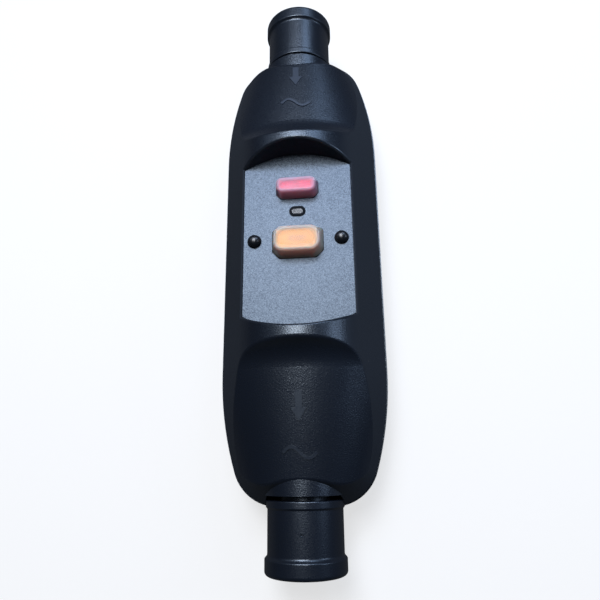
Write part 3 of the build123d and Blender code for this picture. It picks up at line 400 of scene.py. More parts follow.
@dataclass(frozen=True)
class PlatePaint:
    """Steel-blue metallic spray paint with a fine speckle."""

    name: str = "plate_paint"
    dark: Color = (0.018, 0.025, 0.037)
    light: Color = (0.140, 0.172, 0.208)
    speckle: float = 3600.0
    contrast: float = 1.3
    flake_share: float = 0.75
    metallic: float = 0.65
    roughness: Flat = (0.38, 0.52)

    def build(self, effects: Effects) -> bpy.types.Material:
        """Builds the material.

        Args:
            effects: The shared effects.

        Returns:
            The material.
        """
        draft = MaterialDraft(self.name)
        nodes = draft.nodes
        grain = draft.effect(effects.grain, Scale=3400.0, Depth=0.35, Blotch_Scale=60.0)
        cells = nodes.add("ShaderNodeTexVoronoi", Vector=nodes.place(), Scale=self.speckle)
        tone = nodes.add("ShaderNodeSeparateColor", Color=cells.outputs["Color"]).outputs[0]
        tone = nodes.math("POWER", tone, self.contrast)
        pits = nodes.math("MULTIPLY", grain.outputs["Pits"], 1.0 - self.flake_share)
        flake = nodes.math("MULTIPLY_ADD", tone, self.flake_share, pits)
        color = nodes.mix(flake, rgba(self.dark), rgba(self.light))
        rough = nodes.level(tone, *self.roughness)
        draft.set(Base_Color=color, Roughness=rough, Normal=grain.outputs["Normal"])
        draft.set(Metallic=self.metallic, Specular_IOR_Level=0.25)
        return draft.material


@dataclass(frozen=True)
class Silicone:
    """Milky translucent silicone rubber."""

    name: str
    color: Color
    # Colour of the sides: the button's colour seen through, lightened as painted light carried through the silicone.
    side: Color
    thin: float
    thick: float
    roughness: Flat = (0.3, 0.36)
    # colour of the painted shade on the flange under the plate
    shade: Color = (0.012, 0.01, 0.01)
    glow: Point = (1.0, 0.6, 0.55)
    side_spread: Flat = (0.7, 0.74)
    color_cloud: float = 0.1
    clear_cloud: float = 0.08
    dust_color: Color = (0.9, 0.9, 0.88)
    dust_share: float = 0.3

    def build(self, effects: Effects) -> bpy.types.Material:
        """Builds the material.

        Args:
            effects: The shared effects.

        Returns:
            The material.
        """
        draft = MaterialDraft(self.name)
        nodes = draft.nodes
        grain = draft.effect(effects.grain, Scale=3000.0, Depth=0.12, Blotch_Scale=220.0)
        dust = draft.effect(effects.dust, Scale=1100.0, Amount=0.05)
        milk = nodes.add("ShaderNodeAttribute")
        milk.attribute_name = MILK
        # Where MILK is low the colour is the side colour, partly the button's tint and partly painted light carried
        # through the silicone; milkier places turn towards the milky colour.
        edge = nodes.spread(milk.outputs["Fac"], *self.side_spread)
        edge = nodes.math("MULTIPLY_ADD", grain.outputs["Blotch"], self.color_cloud, edge)
        color = nodes.mix(edge, rgba(self.side), rgba(self.color))
        # Painted shade: the flange under the plate, marked SHADED, takes the dark shade colour and full alpha, so the
        # gap round the boot's foot shows dark.
        foot = nodes.math("LESS_THAN", milk.outputs["Fac"], SHADED / 2)
        color = nodes.mix(foot, color, rgba(self.shade))
        color = nodes.mix(nodes.math("MULTIPLY", dust.outputs["Mask"], self.dust_share), color, rgba(self.dust_color))
        rough = nodes.level(grain.outputs["Pits"], *self.roughness)
        cloud = nodes.math("MULTIPLY_ADD", grain.outputs["Blotch"], self.clear_cloud, milk.outputs["Fac"])
        draft.set(Base_Color=color, Roughness=rough, Normal=grain.outputs["Normal"])
        draft.set(Alpha=nodes.math("MAXIMUM", nodes.level(cloud, self.thin, self.thick), foot), IOR=1.41)
        draft.set(Subsurface_Weight=1.0, Subsurface_Radius=self.glow, Subsurface_Scale=0.006)
        draft.set(Specular_IOR_Level=0.3)
        return draft.material


@dataclass(frozen=True)
class GlossPlastic:
    """Polished moulding, with a faint flow pattern under the gloss."""

    name: str
    color: Color
    roughness: float
    deep: float = 0.8
    gloss: float = 0.5
    pit_roughness: float = 0.08

    def build(self, effects: Effects) -> bpy.types.Material:
        """Builds the material.

        Args:
            effects: The shared effects.

        Returns:
            The material.
        """
        draft = MaterialDraft(self.name)
        nodes = draft.nodes
        grain = draft.effect(effects.grain, Scale=1800.0, Depth=0.06, Blotch_Scale=140.0)
        color = nodes.mix(grain.outputs["Blotch"], rgba(scaled(self.color, self.deep)), rgba(self.color))
        rough = nodes.level(grain.outputs["Pits"], self.roughness, self.roughness + self.pit_roughness)
        draft.set(Base_Color=color, Roughness=rough, Normal=grain.outputs["Normal"], IOR=1.5)
        draft.set(Specular_IOR_Level=self.gloss)
        return draft.material


@dataclass(frozen=True)
class ClearPlastic:
    """Clear or tinted window plastic."""

    name: str
    color: Color
    roughness: float
    clear: float = 0.85
    gloss: float = 0.5
    deep: float = 0.9
    pit_roughness: float = 0.06

    def build(self, effects: Effects) -> bpy.types.Material:
        """Builds the material.

        Args:
            effects: The shared effects.

        Returns:
            The material.
        """
        draft = MaterialDraft(self.name)
        nodes = draft.nodes
        grain = draft.effect(effects.grain, Scale=500.0, Depth=0.02, Blotch_Scale=300.0)
        color = nodes.mix(grain.outputs["Blotch"], rgba(scaled(self.color, self.deep)), rgba(self.color))
        rough = nodes.level(grain.outputs["Pits"], self.roughness, self.roughness + self.pit_roughness)
        draft.set(Base_Color=color, Roughness=rough, Normal=grain.outputs["Normal"])
        draft.set(Transmission_Weight=self.clear, IOR=1.49, Specular_IOR_Level=self.gloss)
        return draft.material


@dataclass(frozen=True)
class Rubber:
    """Matt black rubber with bloom and dust."""

    name: str = "black_rubber"
    color: Color = (0.014, 0.014, 0.016)
    bloom: Color = (0.05, 0.05, 0.055)
    bloom_share: float = 0.35
    dust_color: Color = (0.3, 0.3, 0.3)
    dust_share: float = 0.4
    roughness: Flat = (0.68, 0.82)

    def build(self, effects: Effects) -> bpy.types.Material:
        """Builds the material.

        Args:
            effects: The shared effects.

        Returns:
            The material.
        """
        draft = MaterialDraft(self.name)
        nodes = draft.nodes
        grain = draft.effect(effects.grain, Scale=1900.0, Depth=0.4, Blotch_Scale=90.0)
        dust = draft.effect(effects.dust, Scale=800.0, Amount=0.06)
        share = nodes.math("MULTIPLY", grain.outputs["Blotch"], self.bloom_share)
        color = nodes.mix(share, rgba(self.color), rgba(self.bloom))
        color = nodes.mix(nodes.math("MULTIPLY", dust.outputs["Mask"], self.dust_share), color, rgba(self.dust_color))
        rough = nodes.level(grain.outputs["Pits"], *self.roughness)
        draft.set(Base_Color=color, Roughness=rough, Normal=grain.outputs["Normal"])
        return draft.material


@dataclass(frozen=True)
class MachinedMetal:
    """Plated, drawn or machined metal with marks and a slow tarnish."""

    name: str
    color: Color
    tarnish: Color
    roughness: float
    stretch: float
    mark_tone: float = 0.85
    tarnish_share: float = 0.5
    tarnish_roughness: float = 0.18

    def build(self, effects: Effects) -> bpy.types.Material:
        """Builds the material.

        Args:
            effects: The shared effects.

        Returns:
            The material.
        """
        draft = MaterialDraft(self.name)
        nodes = draft.nodes
        marks = draft.effect(effects.brushing, Stretch=self.stretch, Scale=900.0, Depth=0.2)
        color = nodes.mix(marks.outputs["Marks"], rgba(scaled(self.color, self.mark_tone)), rgba(self.color))
        share = nodes.math("MULTIPLY", marks.outputs["Tarnish"], self.tarnish_share)
        color = nodes.mix(share, color, rgba(self.tarnish))
        rough = nodes.level(marks.outputs["Tarnish"], self.roughness, self.roughness + self.tarnish_roughness)
        draft.set(Base_Color=color, Roughness=rough, Normal=marks.outputs["Normal"], Metallic=1.0)
        return draft.material


@dataclass(frozen=True)
class EnamelledWire:
    """Copper wire under a clear amber enamel."""

    name: str = "enamelled_wire"
    copper: Color = (0.62, 0.22, 0.09)
    amber: Color = (0.36, 0.10, 0.03)
    roughness: Flat = (0.24, 0.4)

    def build(self, effects: Effects) -> bpy.types.Material:
        """Builds the material.

        Args:
            effects: The shared effects.

        Returns:
            The material.
        """
        draft = MaterialDraft(self.name)
        nodes = draft.nodes
        marks = draft.effect(effects.brushing, Stretch=3.0, Scale=1400.0, Depth=0.1)
        color = nodes.mix(marks.outputs["Marks"], rgba(self.amber), rgba(self.copper))
        rough = nodes.level(marks.outputs["Tarnish"], *self.roughness)
        draft.set(Base_Color=color, Roughness=rough, Normal=marks.outputs["Normal"])
        draft.set(Metallic=0.85, Coat_Weight=0.6, Coat_Roughness=0.1)
        return draft.material


@dataclass(frozen=True)
class BoardLaminate:
    """Green lacquered board with raised tracks under the lacquer and the glass weave showing through."""

    name: str = "board_laminate"
    lacquer: Color = (0.01, 0.11, 0.04)
    track: Color = (0.03, 0.24, 0.09)
    fibre: Color = (0.2, 0.26, 0.1)
    pitch: float = 420.0
    rings: float = 3.0
    least_track: float = 0.55
    weave_scale: float = 2400.0
    weave_share: float = 0.25
    weave_rise: float = 0.2
    roughness: Flat = (0.22, 0.36)

    def build(self, effects: Effects) -> bpy.types.Material:
        """Builds the material.

        Args:
            effects: The shared effects.

        Returns:
            The material.
        """
        draft = MaterialDraft(self.name)
        nodes = draft.nodes
        grain = draft.effect(effects.grain, Scale=1600.0, Depth=0.05, Blotch_Scale=120.0)
        cells = nodes.add("ShaderNodeTexVoronoi", Vector=nodes.place(), Scale=self.pitch)
        cells.distance = "CHEBYCHEV"
        cells.feature = "F2"
        edge = nodes.math("FRACT", nodes.math("MULTIPLY", cells.outputs["Distance"], self.rings))
        track = nodes.math("GREATER_THAN", edge, self.least_track)
        weave = nodes.noise(self.weave_scale, 1.0)
        color = nodes.mix(track, rgba(self.lacquer), rgba(self.track))
        color = nodes.mix(nodes.math("MULTIPLY", weave, self.weave_share), color, rgba(self.fibre))
        height = nodes.math("MULTIPLY_ADD", weave, self.weave_rise, track)
        bump = nodes.add("ShaderNodeBump", Strength=0.25, Distance=0.00006, Height=height)
        rough = nodes.level(grain.outputs["Blotch"], *self.roughness)
        draft.set(Base_Color=color, Roughness=rough, Normal=bump.outputs[0])
        draft.set(Coat_Weight=0.4, Coat_Roughness=0.15)
        return draft.material


@dataclass(frozen=True)
class Tone:
    """Colour, metallic share and roughness of one part of a piece."""

    color: Color
    metallic: float
    roughness: float


BLACK = (0.0026, 0.0038, 0.0072)
NYLON = (0.62, 0.60, 0.53)
SILVER = Tone((0.80, 0.79, 0.76), 1.0, 0.25)
TIN = Tone((0.66, 0.66, 0.64), 1.0, 0.34)
COPPER = Tone((0.72, 0.40, 0.20), 1.0, 0.32)


@dataclass(frozen=True)
class TippedFinish:
    """A piece whose ends differ from its middle: legs, silver contacts, a bare rim."""

    name: str
    middle: Tone
    tips: Tone
    axis: Across
    centre: float
    reach: float
    bands: tuple[Color, ...] = ()
    band_pitch: float = 1.25
    band_reach: float = 0.32
    deep: float = 0.82
    tarnish_tone: float = 0.7
    mark_roughness: float = 0.08

    def build(self, effects: Effects) -> bpy.types.Material:
        """Builds the material.

        Args:
            effects: The shared effects.

        Returns:
            The material.
        """
        draft = MaterialDraft(self.name)
        nodes = draft.nodes
        grain = draft.effect(effects.grain, Scale=2000.0, Depth=0.15, Blotch_Scale=200.0)
        marks = draft.effect(effects.brushing, Stretch=6.0, Scale=1200.0, Depth=0.1)
        off = nodes.math("SUBTRACT", nodes.along(self.axis), self.centre * MM)
        tip = nodes.math("GREATER_THAN", nodes.math("ABSOLUTE", off), self.reach * MM)
        deep = scaled(self.middle.color, self.deep)
        body = nodes.mix(grain.outputs["Blotch"], rgba(deep), rgba(self.middle.color))
        for number, band in enumerate(self.bands):
            place = (number - (len(self.bands) - 1) / 2) * self.band_pitch * MM
            near = nodes.math("COMPARE", off, place, self.band_reach * MM)
            body = nodes.mix(near, body, rgba(band))
        dull = scaled(self.tips.color, self.tarnish_tone)
        metal = nodes.mix(marks.outputs["Tarnish"], rgba(self.tips.color), rgba(dull))
        metallic = nodes.level(tip, self.middle.metallic, self.tips.metallic)
        rough = nodes.level(tip, self.middle.roughness, self.tips.roughness)
        rough = nodes.math("MULTIPLY_ADD", marks.outputs["Marks"], self.mark_roughness, rough)
        draft.set(Base_Color=nodes.mix(tip, body, metal), Metallic=metallic, Roughness=rough)
        draft.set(Normal=grain.outputs["Normal"])
        return draft.material


class FinishBook:
    """Every finish of the device, built once and looked up by name."""

    SOURCES = (
        MouldedPlastic(
            "shell_plastic", BLACK, roughness=0.29, depth=0.8, scale=2500.0, dust=0.004, gloss=0.8, ledge=PLATE_TOP,
        ),
        MouldedPlastic("collar_plastic", BLACK, roughness=0.30, depth=0.5, scale=2500.0, dust=0.004, gloss=0.8),
        # The raised signs are the shell's plastic in lit and shaded copies: painted light on the line end's, painted
        # shade on the load end's.
        MouldedPlastic("relief_satin", (0.013, 0.017, 0.027), roughness=0.34, depth=0.3, scale=2200.0, gloss=0.8),
        MouldedPlastic("relief_dim", (0.0042, 0.006, 0.0105), roughness=0.36, depth=0.3, scale=2200.0, gloss=0.8),
        MouldedPlastic("nylon_moulding", NYLON, roughness=0.45, depth=0.15, scale=2200.0),
        MouldedPlastic("nylon_frame", (0.55, 0.53, 0.46), roughness=0.5, depth=0.2, scale=1800.0),
        MouldedPlastic("bobbin_nylon", (0.66, 0.60, 0.44), roughness=0.4, depth=0.15, scale=2200.0),
        MouldedPlastic("ferrite", (0.035, 0.035, 0.038), roughness=0.6, depth=0.6, scale=3200.0),
        PlatePaint(),
        # The side colours are partly the buttons' tint and partly painted light carried through the silicone.
        Silicone("reset_silicone", (0.54, 0.44, 0.47), side=(1.0, 0.67, 0.50), thin=0.02, thick=0.74),
        Silicone("test_silicone", (0.54, 0.38, 0.49), side=(0.96, 0.42, 0.54), thin=0.05, thick=0.74),
        GlossPlastic("reset_orange", (1.0, 0.50, 0.14), roughness=0.5, deep=0.96, gloss=0.15),
        GlossPlastic("test_red", (0.95, 0.09, 0.15), roughness=0.5, deep=0.96, gloss=0.15),
        GlossPlastic("reset_sign", (0.72, 0.25, 0.06), roughness=0.4),
        GlossPlastic("test_sign", (0.55, 0.03, 0.05), roughness=0.4),
        GlossPlastic("stud_black", (0.004, 0.005, 0.007), roughness=0.27, gloss=0.6),
        MouldedPlastic("bezel_black", (0.002, 0.0025, 0.004), roughness=0.6, depth=0.2, gloss=0.1),
        ClearPlastic("window_clear", (0.02, 0.025, 0.03), roughness=0.2, clear=0.3, gloss=0.1),
        ClearPlastic("lamp_clear", (0.75, 0.12, 0.08), roughness=0.15),
        Rubber(),
        MachinedMetal("zinc_plate", (0.62, 0.63, 0.66), (0.45, 0.43, 0.36), roughness=0.32, stretch=8.0),
        MachinedMetal("soft_iron", (0.46, 0.45, 0.44), (0.24, 0.21, 0.18), roughness=0.42, stretch=14.0),
        MachinedMetal("spring_steel", (0.55, 0.55, 0.57), (0.35, 0.33, 0.3), roughness=0.28, stretch=3.0),
        MachinedMetal("terminal_brass", (0.80, 0.58, 0.24), (0.45, 0.28, 0.1), roughness=0.3, stretch=10.0),
        MachinedMetal("lead_copper", (0.78, 0.36, 0.19), (0.40, 0.15, 0.07), roughness=0.34, stretch=4.0),
        MachinedMetal("strap_brass", (0.76, 0.55, 0.24), (0.42, 0.27, 0.11), roughness=0.34, stretch=20.0),
        MachinedMetal("solder", (0.72, 0.72, 0.71), (0.5, 0.5, 0.48), roughness=0.22, stretch=2.0),
        EnamelledWire(),
        BoardLaminate(),
        TippedFinish("bridge_strip", COPPER, SILVER, Across.Z, centre=14.3, reach=0.42),
        TippedFinish("contact_strip", COPPER, SILVER, Across.Z, centre=10.0, reach=0.42),
        TippedFinish("chip_body", Tone((0.02, 0.02, 0.022), 0.0, 0.5), TIN, Across.Y, centre=-12.0, reach=3.01),
        TippedFinish("varistor_lacquer", Tone((0.03, 0.10, 0.42), 0.0, 0.35), TIN, Across.Z, centre=13.6, reach=4.62),
        TippedFinish(
            "resistor_lacquer", Tone((0.52, 0.38, 0.22), 0.0, 0.35), TIN, Across.Y, centre=-6.25, reach=3.26,
            bands=((0.25, 0.06, 0.02), (0.01, 0.01, 0.01), (0.6, 0.2, 0.02), (0.6, 0.42, 0.1)),
        ),
        TippedFinish("capacitor_sleeve", Tone((0.02, 0.025, 0.08), 0.0, 0.3), TIN, Across.Z, centre=15.0, reach=5.9),
        TippedFinish("switch_body", Tone((0.02, 0.02, 0.022), 0.0, 0.4), TIN, Across.Z, centre=22.6, reach=1.6),
    )

    def __init__(self) -> None:
        """Builds the effects and the finishes."""
        effects = Effects()
        self.materials = {source.name: source.build(effects) for source in self.SOURCES}

    def __getitem__(self, name: str) -> bpy.types.Material:
        """The finish of that name."""
        return self.materials[name]


def rounded_outline(corners: list[Flat], radii: list[float], steps: int = 6) -> list[Flat]:
    """Rounds the corners of a closed outline.

    Args:
        corners: The outline's corners, in turn.
        radii: Rounding of each corner.
        steps: Points on each rounding, less one.

    Returns:
        The points of the rounded outline.
    """
    points = []
    for number, (corner, radius) in enumerate(zip(corners, radii)):
        here = Vector(corner)
        back = (Vector(corners[number - 1]) - here).normalized()
        ahead = (Vector(corners[(number + 1) % len(corners)]) - here).normalized()
        half = back.angle(ahead) / 2
        middle = here + (back + ahead).normalized() * radius / math.sin(half)
        first = here + back * radius / math.tan(half) - middle
        last = here + ahead * radius / math.tan(half) - middle
        sweep = first.angle_signed(last)
        for step in range(steps + 1):
            turn = -sweep * step / steps
            x = first.x * math.cos(turn) - first.y * math.sin(turn)
            y = first.x * math.sin(turn) + first.y * math.cos(turn)
            points.append((middle.x + x, middle.y + y))
    return points


def slot_outline(size: Flat, draw_in: float) -> list[Flat]:
    """Slot with round ends, drawn in on every side.

    Args:
        size: Width and length.
        draw_in: How far it is drawn in.

    Returns:
        The outline.
    """
    x, y = size[0] / 2 - draw_in, size[1] / 2 - draw_in
    return rounded_outline([(x, y), (-x, y), (-x, -y), (x, -y)], [SLOT_ROUNDING * y] * 4)


def at_height(outline: list[Flat], centre_y: float, height: float) -> Ring:
    """Lifts an outline to a height, moved along Y, all in millimetres."""
    return [(x, centre_y + y, height) for x, y in outline]


def form_of(*meshes: bpy.types.Mesh) -> bmesh.types.BMesh:
    """Gathers meshes in metres into one form in millimetres.

    Args:
        *meshes: The meshes.

    Returns:
        The form.
    """
    form = bmesh.new()
    for mesh in meshes:
        form.from_mesh(mesh)
    bmesh.ops.scale(form, vec=(1 / MM, 1 / MM, 1 / MM), verts=form.verts)
    return form


class Workshop:
    """Makes mesh objects from rings, profiles and node trees, and fits them to the frame."""

    def __init__(self, nodes: dict[str, bpy.types.Object], finishes: FinishBook) -> None:
        """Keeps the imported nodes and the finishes.

        Args:
            nodes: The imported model's nodes.
            finishes: The finishes.
        """
        self.nodes = nodes
        self.finishes = finishes

    def dress(self, finish: str, *names: str) -> None:
        """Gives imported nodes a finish.

        Args:
            finish: The finish's name.
            *names: The nodes.
        """
        for name in names:
            materials = self.nodes[name].data.materials
            materials.clear()
            materials.append(self.finishes[finish])
            LOG.info("%s: finished in %s", name, finish)

    def mesh_object(self, name: str, form: bmesh.types.BMesh, crease: float = 35.0) -> bpy.types.Object:
        """Turns a form in millimetres into an object in metres.

        Args:
            name: The piece's name.
            form: The form, freed afterwards.
            crease: Angle in degrees past which an edge stays sharp.

        Returns:
            The object.
        """
        bmesh.ops.scale(form, vec=(MM, MM, MM), verts=form.verts)
        bmesh.ops.recalc_face_normals(form, faces=form.faces)
        mesh = bpy.data.meshes.new(name)
        form.to_mesh(mesh)
        form.free()
        mesh.shade_smooth()
        mesh.set_sharp_from_angle(angle=math.radians(crease))
        piece = bpy.data.objects.new(name, mesh)
        bpy.context.scene.collection.objects.link(piece)
        return piece

    def stack(self, name: str, rings: list[Ring], capped: bool) -> bpy.types.Object:
        """Skins a closed form through rings of equal point counts.

        Args:
            name: The piece's name.
            rings: The rings in turn, in millimetres.
            capped: Whether the first and last ring are filled, or else joined to each other.

        Returns:
            The object.
        """
        form = bmesh.new()
        loops = [[form.verts.new(point) for point in ring] for ring in rings]
        count = len(loops[0])
        pairs = list(zip(loops, loops[1:])) + ([] if capped else [(loops[-1], loops[0])])
        for low, high in pairs:
            for index in range(count):
                ahead = (index + 1) % count
                form.faces.new((low[index], low[ahead], high[ahead], high[index]))
        if capped:
            form.faces.new(loops[0])
            form.faces.new(loops[-1])
        return self.mesh_object(name, form)

    def lathe(self, name: str, profile: list[Flat], centre_z: float, steps: int) -> bpy.types.Object:
        """Turns a closed profile about an axis along Y.

        Args:
            name: The piece's name.
            profile: Places along the axis and radii, in millimetres.
            centre_z: Height of the axis.
            steps: Steps round the axis.

        Returns:
            The object.
        """
        rings = []
        for step in range(steps):
            turn = math.tau * step / steps
            rings.append([(r * math.cos(turn), y, centre_z + r * math.sin(turn)) for y, r in profile])
        return self.stack(name, rings, capped=False)

    def merge(self, name: str, pieces: list[bpy.types.Object], crease: float = 35.0) -> bpy.types.Object:
        """Merges pieces into one and removes them.

        Args:
            name: The merged piece's name.
            pieces: The pieces, in metres.
            crease: Angle in degrees past which an edge stays sharp.

        Returns:
            The merged object.
        """
        form = form_of(*[piece.data for piece in pieces])
        for piece in pieces:
            bpy.data.objects.remove(piece)
        return self.mesh_object(name, form, crease)

    def fit(self, piece: bpy.types.Object, body: Body, finish: str, slot: str, *stands_for: str) -> None:
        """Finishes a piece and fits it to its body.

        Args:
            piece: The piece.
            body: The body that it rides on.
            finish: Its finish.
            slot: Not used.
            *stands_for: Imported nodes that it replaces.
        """
        piece.data.materials.clear()
        piece.data.materials.append(self.finishes[finish])
        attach(piece, body.value)
        if stands_for:
            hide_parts(*stands_for)
        LOG.info("%s: %d faces, rides on %s", piece.name, len(piece.data.polygons), body.value)


class FormTree:
    """Geometry node tree with named inputs that is run once into a plain mesh."""

    CREASE = 40.0

    def __init__(self, name: str) -> None:
        """Makes the tree with its geometry sockets.

        Args:
            name: The tree's name.
        """
        self.tree = bpy.data.node_groups.new(name, "GeometryNodeTree")
        for way in ("INPUT", "OUTPUT"):
            self.tree.interface.new_socket("Geometry", in_out=way, socket_type="NodeSocketGeometry")
        self.nodes = NodeBuilder(self.tree)
        self.start = self.nodes.add("NodeGroupInput")
        self.end = self.nodes.add("NodeGroupOutput")
        self.keys: dict[str, str] = {}

    def given(self, name: str, kind: str) -> bpy.types.NodeSocket:
        """Adds a named input.

        Args:
            name: The input's name.
            kind: Float, Int, Vector, Object or Material.

        Returns:
            The socket that puts it out inside the tree.
        """
        socket = self.tree.interface.new_socket(name, in_out="INPUT", socket_type=f"NodeSocket{kind}")
        self.keys[name] = socket.identifier
        return self.start.outputs[name]

    def close(self, geometry: bpy.types.NodeSocket) -> None:
        """Ends the tree with real geometry in one material.

        Args:
            geometry: What the tree has made.
        """
        real = self.nodes.add("GeometryNodeRealizeInstances", Geometry=geometry)
        painted = self.nodes.add(
            "GeometryNodeSetMaterial", Geometry=real.outputs[0], Material=self.given("Finish", "Material")
        )
        self.nodes.join(self.end.inputs["Geometry"], painted.outputs[0])

    def close_on_places(self, form: bpy.types.NodeSocket) -> None:
        """Ends the tree with a form on each given place.

        Args:
            form: The form.
        """
        given = self.start.outputs["Geometry"]
        placed = self.nodes.add("GeometryNodeInstanceOnPoints", Points=given, Instance=form)
        self.close(placed.outputs[0])

    def make(self, name: str, base: bpy.types.Object | list[Point], **values: object) -> bpy.types.Object:
        """Runs the tree once.

        Args:
            name: The piece's name.
            base: A flat piece to work on, or places in millimetres.
            **values: Inputs by name, with blanks as underscores; lengths in metres.

        Returns:
            The object with a plain mesh.
        """
        piece = base
        if isinstance(base, list):
            mesh = bpy.data.meshes.new(name)
            mesh.from_pydata([tuple(MM * part for part in point) for point in base], [], [])
            piece = bpy.data.objects.new(name, mesh)
            bpy.context.scene.collection.objects.link(piece)
        modifier = piece.modifiers.new("form", "NODES")
        modifier.node_group = self.tree
        for key, value in values.items():
            modifier[self.keys[key.replace("_", " ")]] = value
        bpy.context.view_layer.update()
        evaluated = piece.evaluated_get(bpy.context.evaluated_depsgraph_get())
        mesh = bpy.data.meshes.new_from_object(evaluated)
        piece.modifiers.remove(modifier)
        piece.data = mesh
        mesh.shade_smooth()
        mesh.set_sharp_from_angle(angle=math.radians(self.CREASE))
        return piece


class WoundWireTree(FormTree):
    """Helical wire that stands on each given place."""

    def __init__(self) -> None:
        """Builds the tree."""
        super().__init__("wound_wire")
        nodes = self.nodes
        radius = self.given("Radius", "Float")
        spiral = nodes.add(
            "GeometryNodeCurveSpiral", Resolution=self.given("Steps", "Int"), Rotations=self.given("Turns", "Float"),
            Start_Radius=radius, End_Radius=radius, Height=self.given("Height", "Float"),
        )
        wire = nodes.add(
            "GeometryNodeCurvePrimitiveCircle", Resolution=self.given("Sides", "Int"),
            Radius=self.given("Wire Radius", "Float"),
        )
        tube = nodes.add("GeometryNodeCurveToMesh", Curve=spiral.outputs[0], Profile_Curve=wire.outputs[0])
        nodes.join(tube.inputs["Fill Caps"], True)
        self.close_on_places(tube.outputs[0])


class RingWindingTree(FormTree):
    """Turns of wire round a ring core that lies about an axis along Y."""

    SIDES = 6
    BEND_STEPS = 4
    LEAN = 0.03

    def __init__(self) -> None:
        """Builds the tree."""
        super().__init__("ring_winding")
        nodes = self.nodes
        turns = self.given("Turns", "Int")
        ring = nodes.add("GeometryNodeMeshCircle", Vertices=turns, Radius=self.given("Ring Radius", "Float"))
        loop = nodes.add(
            "GeometryNodeCurvePrimitiveQuadrilateral", Width=self.given("Depth", "Float"),
            Height=self.given("Width", "Float"),
        )
        soft = nodes.add("GeometryNodeFilletCurve", Curve=loop.outputs[0], Radius=self.given("Bend", "Float"))
        soft.mode = "POLY"
        nodes.join(soft.inputs["Count"], self.BEND_STEPS)
        upright = nodes.add("GeometryNodeTransform", Geometry=soft.outputs[0], Rotation=(math.pi / 2, 0, 0))
        wire = nodes.add(
            "GeometryNodeCurvePrimitiveCircle", Resolution=self.SIDES, Radius=self.given("Wire Radius", "Float")
        )
        tube = nodes.add("GeometryNodeCurveToMesh", Curve=upright.outputs[0], Profile_Curve=wire.outputs[0])
        step = nodes.math("DIVIDE", math.tau, turns)
        turn = nodes.math("MULTIPLY", nodes.add("GeometryNodeInputIndex").outputs[0], step)
        lean = nodes.add("ShaderNodeCombineXYZ", X=self.LEAN, Z=turn)
        placed = nodes.add(
            "GeometryNodeInstanceOnPoints", Points=ring.outputs[0], Instance=tube.outputs[0],
            Rotation=lean.outputs[0],
        )
        real = nodes.add("GeometryNodeRealizeInstances", Geometry=placed.outputs[0])
        laid = nodes.add(
            "GeometryNodeTransform", Geometry=real.outputs[0], Rotation=(math.pi / 2, 0, 0),
            Translation=self.given("Place", "Vector"),
        )
        self.close(laid.outputs[0])


class LaidReliefTree(FormTree):
    """Lays a flat relief on the ground below it; its heights become heights over the ground."""

    START = 0.2

    def __init__(self) -> None:
        """Builds the tree."""
        super().__init__("laid_relief")
        nodes = self.nodes
        ground = nodes.add("GeometryNodeObjectInfo", Object=self.given("Ground", "Object"))
        place = nodes.add("ShaderNodeSeparateXYZ", Vector=nodes.add("GeometryNodeInputPosition").outputs[0])
        above = nodes.add("ShaderNodeCombineXYZ", X=place.outputs["X"], Y=place.outputs["Y"], Z=self.START)
        ray = nodes.add(
            "GeometryNodeRaycast", Target_Geometry=ground.outputs["Geometry"], Source_Position=above.outputs[0],
            Ray_Direction=(0.0, 0.0, -1.0), Ray_Length=2 * self.START,
        )
        lift = nodes.add("ShaderNodeVectorMath", Vector=ray.outputs["Hit Normal"])
        lift.operation = "SCALE"
        nodes.join(lift.inputs["Scale"], place.outputs["Z"])
        sum_up = nodes.add("ShaderNodeVectorMath", Vector=ray.outputs["Hit Position"])
        nodes.join(sum_up.inputs[1], lift.outputs[0])
        moved = nodes.add(
            "GeometryNodeSetPosition", Geometry=self.start.outputs["Geometry"], Position=sum_up.outputs[0]
        )
        self.close(moved.outputs[0])


class Patterns:
    """The node trees for what repeats or follows a surface, built once."""

    def __init__(self) -> None:
        """Builds the trees."""
        self.wound_wire = WoundWireTree()
        self.ring_winding = RingWindingTree()
        self.laid_relief = LaidReliefTree()


@dataclass
class SubAssembly:
    """What each sub-assembly works with."""

    shop: Workshop
    patterns: Patterns


